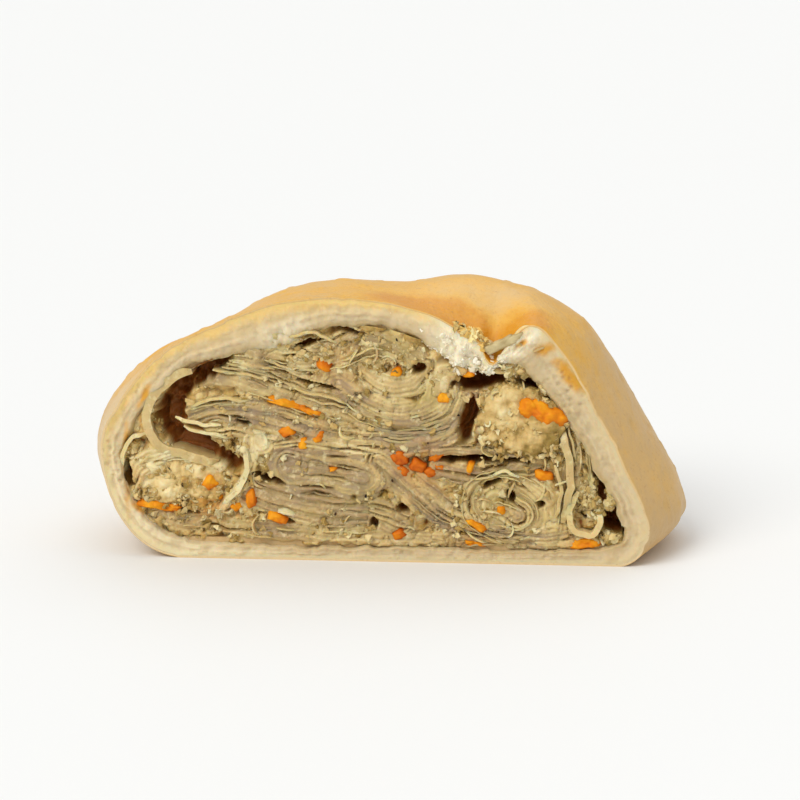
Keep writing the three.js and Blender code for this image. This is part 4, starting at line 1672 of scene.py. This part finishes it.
# %% Pieces of carrot
# x, z, length, width, tilt, height of the front
CARROTS = [
    (33.7, 31.0, 10.0, 4.2, -27, -1.0), (-16.2, 31.8, 13.6, 1.5, -17, -0.15),
    (5.2, 21.2, 3.4, 2.9, 10, -0.1), (9.0, 19.6, 3.4, 2.6, -28, -0.2), (12.4, 21.6, 4.0, 1.5, 42, 0.0),
    (5.8, 18.8, 3.0, 2.0, -40, 0.3), (11.2, 18.4, 2.8, 2.2, 15, -0.1), (8.0, 17.6, 1.8, 1.4, 60, 0.4),
    (13.2, 19.4, 2.0, 1.2, 0, 0.4), (-43.6, 10.4, 8.8, 1.8, -8, -0.1),
    (-33.2, 15.6, 3.2, 2.8, 40, -0.7), (-25.2, 12.2, 2.0, 3.6, 8, -0.3), (-27.8, 10.6, 2.4, 2.0, 30, 0.1),
    (-20.0, 8.4, 4.2, 2.0, -18, 0.1), (-10.0, 40.0, 3.2, 2.2, -25, 0.1), (-17.6, 26.4, 3.4, 2.2, 20, -0.2),
    (-14.2, 24.2, 1.9, 2.6, 0, -0.7), (-11.2, 25.2, 3.0, 1.6, 35, -0.7), (-8.4, 18.8, 2.0, 1.1, 8, -0.3),
    (4.2, 38.8, 2.4, 1.6, 10, -0.4), (14.2, 33.9, 2.8, 2.2, -12, -0.5), (4.9, 5.4, 2.6, 2.2, 30, 0.1),
    (20.4, 7.8, 4.6, 1.6, -32, 0.1), (20.2, 3.9, 4.4, 1.4, -6, 0.4), (42.6, 4.3, 5.8, 2.2, 4, 0.2),
    (34.3, 18.2, 3.2, 1.9, -8, 0.0), (25.6, 10.8, 1.6, 1.6, 0, 0.1), (19.4, 19.6, 1.4, 3.0, -20, 0.3),
    (18.8, 38.6, 2.6, 1.3, 8, 0.3), (-31.6, 12.4, 1.6, 1.4, 0, 0.3), (-50.6, 12.6, 2.6, 1.4, -40, 0.8),
]
CARROT_DEPTH, CARROT_CRUMBLE, CARROT_BACK = 2.4, 0.5, 0.25
DEEP_ORANGE, ORANGE = 0.3, 0.72  # the group right of the middle is deeper in colour
carrot_lumps = [
    lump(bar_outline(*bar, seed), front_y + CARROT_BACK, CARROT_DEPTH, CARROT_CRUMBLE, seed)
    for seed, (*bar, front_y) in enumerate(CARROTS, CARROT_SEED)
]
carrot_tones = [DEEP_ORANGE if z < 23 and abs(x - 9) < 6 else ORANGE for x, z, *_rest in CARROTS]
carrot = join_lumps("carrot_pieces", carrot_lumps, carrot_tones, CARROT_LOOK)

# %% [markdown]
# ## Crumbs, flakes and pepper
#
# Crumbly mince lies between the leaves, the torn seam sheds soft white crumbs, golden flakes of
# crust sit on it, and there is ground pepper. Each kind is a cloud of points with a size each.
# One tree of Geometry Nodes makes them all: a small rounded block on every point, turned and
# stretched at random, and then dented by noise in proportion to its size, so that no two are
# alike.

# %% Random values and sums on vectors
def random_value(tree, low, high, seed):
    """A random number, or a random vector where low and high are vectors."""
    if isinstance(low, tuple):
        kind, first, out = "FLOAT_VECTOR", 0, 0
    else:
        kind, first, out = "FLOAT", 2, 1
    inputs = {first: low, first + 1: high, "Seed": seed}
    return add_node(tree, "FunctionNodeRandomValue", inputs, data_type=kind).outputs[out]


def vector_sum(tree, operation, a, b):
    """A sum on vectors; to scale a vector, b is a number."""
    second = "Scale" if operation == "SCALE" else 1
    return add_node(tree, "ShaderNodeVectorMath", {0: a, second: b}, operation=operation).outputs[0]


# %% A rounded block on every point
FULL_TURN = (6.28, 6.28, 6.28)
SLIMMEST, STOUTEST = (0.7, 0.6, 0.6), (1.6, 1.3, 1.1)  # times the crumb's size
CRUMB_SIZES = {
    "Seed": "Int", "Thickness": "Float", "Dent": "Float", "Dent size": "Float",
    "Material": "Material",
}


def blocks_on_points(tree, start):
    """Each block is turned and stretched at random and gets a tone of its own."""
    seed = start.outputs["Seed"]
    block = add_node(tree, "GeometryNodeMeshCube", {"Size": (1.0, 1.0, 1.0)})
    rounded = add_node(
        tree, "GeometryNodeSubdivisionSurface", {"Mesh": block.outputs["Mesh"], "Level": 1}
    )
    thin = add_node(
        tree, "ShaderNodeCombineXYZ", {"X": 1.0, "Y": 1.0, "Z": start.outputs["Thickness"]}
    )
    stretch = random_value(tree, SLIMMEST, STOUTEST, seed)
    shape = vector_sum(tree, "MULTIPLY", stretch, thin.outputs[0])
    placed = add_node(
        tree, "GeometryNodeInstanceOnPoints",
        {"Points": start.outputs["Geometry"], "Instance": rounded.outputs["Mesh"],
         "Rotation": random_value(tree, (0, 0, 0), FULL_TURN, seed),
         "Scale": vector_sum(tree, "SCALE", shape, painted_value(tree, "size"))},
    )
    toned = add_node(
        tree, "GeometryNodeStoreNamedAttribute",
        {"Geometry": placed.outputs["Instances"], "Name": "tone",
         3: random_value(tree, 0.0, 1.0, seed)},
        data_type="FLOAT", domain="INSTANCE",
    )
    return toned.outputs["Geometry"]


# %% Geometry Nodes that turn points into crumbs
def crumb_tree():
    """Blocks on points, made real and dented by noise."""
    tree, start, end = geometry_tree("crumbs", CRUMB_SIZES)
    blocks = blocks_on_points(tree, start)
    real = add_node(tree, "GeometryNodeRealizeInstances", {"Geometry": blocks})
    scale = math_node(tree, "DIVIDE", 1.0, start.outputs["Dent size"])
    where = add_node(tree, "GeometryNodeInputPosition").outputs[0]
    wave = add_node(tree, "ShaderNodeTexNoise", {"Vector": where, "Scale": scale})
    centred = vector_sum(tree, "SUBTRACT", wave.outputs["Color"], (0.5, 0.5, 0.5))
    amount = math_node(tree, "MULTIPLY", start.outputs["Dent"], painted_value(tree, "size"))
    dented = add_node(
        tree, "GeometryNodeSetPosition",
        {"Geometry": real.outputs["Geometry"], "Offset": vector_sum(tree, "SCALE", centred, amount)},
    )
    finish_tree(tree, start, end, dented.outputs["Geometry"])
    return tree


CRUMBS = crumb_tree()
print("crumb tree:", len(CRUMBS.nodes), "nodes")

# %% Scatter crumbs of one kind
DENT_SIZE = 0.65


def scatter(name, points, sizes, look, seed, thickness, dent):
    """Crumbs of one kind at section-frame points, with their sizes in millimetres."""
    mesh = bpy.data.meshes.new(name + "_points")
    mesh.from_pydata(place(points), [], [])
    paint(mesh, "size", np.asarray(sizes) * MM)
    values = {
        "Seed": seed, "Thickness": thickness, "Dent": dent, "Dent size": DENT_SIZE * MM,
        "Material": look,
    }
    piece = run_tree(add_object(name + "_points", mesh), CRUMBS, values, name)
    sharpen(piece, 70)
    return piece


# %% Where mince crumbs may lie
crumb_rng = np.random.default_rng(23)


def pick(weights, count):
    """Indices drawn with the given weights."""
    share = weights.ravel() / weights.sum()
    return crumb_rng.choice(share.size, size=count, replace=False, p=share)


def on_face(chosen, forward):
    """Points on the core's face, moved a little towards the knife."""
    return np.stack([gx.ravel()[chosen], depth.ravel()[chosen] - forward, gz.ravel()[chosen]], axis=1)


inside_rim = smoothstep(np.minimum(up_share, 1 - up_share) * (top_z - bottom_z), 1.0, 2.0)
clear_of_chunks = np.ones(gx.shape)
for knots, *_rest in CHUNKS:
    middle = np.mean(knots, axis=0)
    reach = np.abs(np.array(knots) - middle).max(axis=0)
    clear_of_chunks *= np.hypot((gx - middle[0]) / reach[0], (gz - middle[1]) / reach[1]) > 0.95
weight = (0.25 * still_open + (1 - in_leaf) + 0.8 * gap_shade * (hollow < 3)) * inside_rim
weight *= clear_of_chunks
weight *= (smoothstep(noise(flat(gx, gz, 7), 6, 77), 0.3, 0.7) + 0.1) * (hollow < 2)
# More lie under the top and beside the column on the right.
weight *= 1 + 2.5 * bell(gx + 2, 14) * bell(gz - 43, 4) + 3 * bell(gx - 45.5, 2) * bell(gz - 16, 7)
print("crumbs may lie on", round(100 * float((weight > 0).mean())), "% of the face")

# %% Mince crumbs, on the face and on the chunks
MINCE_COUNT = 2400
LOW_COUNT = 60  # more crumbs on each chunk's lower half
mince_points = on_face(pick(weight, MINCE_COUNT), -0.2)
mince_sizes = 0.45 + 1.5 * crumb_rng.random(MINCE_COUNT) ** 2.4
mince_crumbs = scatter(
    "mince_crumbs", mince_points, mince_sizes, MINCE_LOOK, seed=3, thickness=0.85, dent=1.7
)
on_chunks = []
for knots, front_y, *_rest in CHUNKS:
    middle = np.mean(knots, axis=0)
    for knot in smooth_line(knots, 1.1, closed=True):
        spread = middle + (knot - middle) * crumb_rng.uniform(0.8, 1.08)
        on_chunks.append((spread[0], front_y + 0.9, spread[1]))
    spread = np.clip(crumb_rng.normal(0, 1, (LOW_COUNT, 2)), -1.5, 1.5)
    low = middle + spread * (5.0, 3.2) - (0, 2.6)
    on_chunks += [(px, front_y + crumb_rng.uniform(0.2, 0.8), pz) for px, pz in low]
chunk_sizes = crumb_rng.uniform(0.7, 1.7, len(on_chunks))
chunk_crumbs = scatter(
    "chunk_crumbs", on_chunks, chunk_sizes, MINCE_LOOK, seed=4, thickness=0.9, dent=1.8
)

# %% White crumbs of the torn seam
WHITE_COUNT, HANGING_COUNT = 760, 120
ANYWHERE = 1e-9  # so that no place is ruled out
HANGING_IN = [(16, 24), (0.2, 3), (38.8, 43)]  # from and to, for x, y and z
seam_weight = bell(fx - SEAM_TEAR, 5) * (fz > 38) * smoothstep(b, 0.12, 0.3) + ANYWHERE
chosen = pick(seam_weight, WHITE_COUNT)
lying = np.stack([fx.ravel()[chosen], fy.ravel()[chosen] + 0.45, fz.ravel()[chosen]], axis=1)
hanging = np.stack([crumb_rng.uniform(*span, HANGING_COUNT) for span in HANGING_IN], axis=1)
white_points = np.concatenate([lying, hanging])
white_sizes = 0.35 + 0.85 * crumb_rng.random(len(white_points)) ** 2
white_crumbs = scatter(
    "white_crumbs", white_points, white_sizes, CRUMB_LOOK, seed=5, thickness=0.85, dent=1.6
)


# %% Golden flakes on the seam, and pepper
FLAKE_COUNT, PEPPER_COUNT = 46, 18


def on_top(x, y):
    """Height of the skin above a place near the seam."""
    near = np.hypot(outside[..., 0] - x, outside[..., 1] - y) + 9 * (outside[..., 2] < 25)
    return outside[..., 2].ravel()[near.argmin()]


flake_x = crumb_rng.normal(19.6, 1.6, FLAKE_COUNT)
flake_y = np.abs(crumb_rng.normal(0.6, 1.3, FLAKE_COUNT))
flake_points = [(x, y, on_top(x, y) + 0.35) for x, y in zip(flake_x, flake_y)]
flake_sizes = crumb_rng.uniform(0.9, 2.2, FLAKE_COUNT)
golden_flakes = scatter(
    "golden_flakes", flake_points, flake_sizes, FLAKE_LOOK, seed=6, thickness=0.5, dent=2.2
)
pepper_points = on_face(pick(inside_rim * (hollow < 1), PEPPER_COUNT), 0.2)
pepper_sizes = crumb_rng.uniform(0.4, 0.85, PEPPER_COUNT)
pepper = scatter("pepper", pepper_points, pepper_sizes, PEPPER_LOOK, seed=7, thickness=0.7, dent=1.5)

# %% The dried sliver on the seam
SLIVER = (26.2, 45.4, 8.0, 2.0, 25)  # x, z, length, width, tilt
SLIVER_FRONT, SLIVER_DEPTH, SLIVER_CRUMBLE = -0.6, 1.3, 0.2
sliver_outline = bar_outline(*SLIVER, SLIVER_SEED)
sliver_lump = lump(sliver_outline, SLIVER_FRONT, SLIVER_DEPTH, SLIVER_CRUMBLE, SLIVER_SEED)
sliver_tone = np.random.default_rng(31).uniform(0.25, 0.8)
sliver = join_lumps("dried_sliver", [sliver_lump], [sliver_tone], HERB_LOOK, painted_light_slope=0)

# %% [markdown]
# ## Hand the pieces to the frame
#
# Everything is one rigid body. The skin stands in for the imported crust and the core for the
# packed filling.

# %% Bodies and replaced nodes
SLOTS = [
    (skin, "crust"), (dough, "crust"), (core, "filling"), (leaves, "leaf"), (chunks, "filling"),
    (carrot, "carrot"), (mince_crumbs, "filling"), (chunk_crumbs, "filling"), (white_crumbs, "crumb"),
    (golden_flakes, "crumb"), (pepper, "pepper"), (sliver, "crumb"),
]
for piece, slot in SLOTS:
    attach(piece, BODY)
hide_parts("crust")
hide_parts("crust")
for piece in (core, leaves, chunks, carrot, mince_crumbs, chunk_crumbs):
    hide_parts("filling")
print("triangles in all:", sum(len(piece.data.loop_triangles) for piece, _ in SLOTS))

# %% [markdown]
# ## Table, light and camera
#
# The floor is plain and pale. The light is soft, from above and from the left in front, as it is
# for food on a white table. The camera looks down a little and stands far back with a long lens,
# so the cut face is seen almost straight on.

# %% Floor
REACH = 4  # metres from the middle to each side
corners = [(-REACH, -REACH, 0), (REACH, -REACH, 0), (REACH, REACH, 0), (-REACH, REACH, 0)]
floor_mesh = bpy.data.meshes.new("floor")
floor_mesh.from_pydata(corners, [], [(0, 1, 2, 3)])
floor = add_object("floor", floor_mesh)
floor_look = bpy.data.materials.new("pale_table")
floor_look.use_nodes = True
table = floor_look.node_tree.nodes["Principled BSDF"].inputs
table["Base Color"].default_value = srgb(238, 238, 236)
table["Roughness"].default_value = 0.6
floor_mesh.materials.append(floor_look)
print("floor", 2 * REACH, "m wide")


# %% Lights
def soft_sun(name, where_from, power, spread, colour):
    """A wide, even light; spread is how many degrees of the sky it fills."""
    data = bpy.data.lights.new(name, "SUN")
    data.energy, data.angle, data.color = power, math.radians(spread), colour
    light = add_object(name, data)
    light.rotation_euler = (-Vector(where_from)).to_track_quat("-Z", "Y").to_euler()


soft_sun("key", (-0.6, -0.85, 0.95), power=1.75, spread=36, colour=(1.0, 0.985, 0.96))
soft_sun("top", (0.15, 0.5, 1.2), power=0.75, spread=70, colour=(1.0, 1.0, 1.0))
world = bpy.data.worlds.new("studio")
bpy.context.scene.world = world
world.use_nodes = True
sky = world.node_tree.nodes["Background"].inputs
sky["Color"].default_value = (0.97, 0.985, 1.0, 1)
sky["Strength"].default_value = 0.58
bpy.context.scene.view_settings.view_transform = "Standard"
print("lights:", [light.name for light in bpy.data.lights])

# %% Camera
CAMERA_AT = (64.6, -687.4, 172)
LOOKS_AT = Vector((0, 0, 26)) * MM
camera = add_object("camera", bpy.data.cameras.new("camera"))
camera.location = place(CAMERA_AT)
camera.rotation_euler = (LOOKS_AT - camera.location).to_track_quat("-Z", "Y").to_euler()
camera.data.lens = 158
camera.data.clip_start = 0.01
bpy.context.scene.camera = camera
print("camera", round((camera.location - LOOKS_AT).length, 2), "m away")
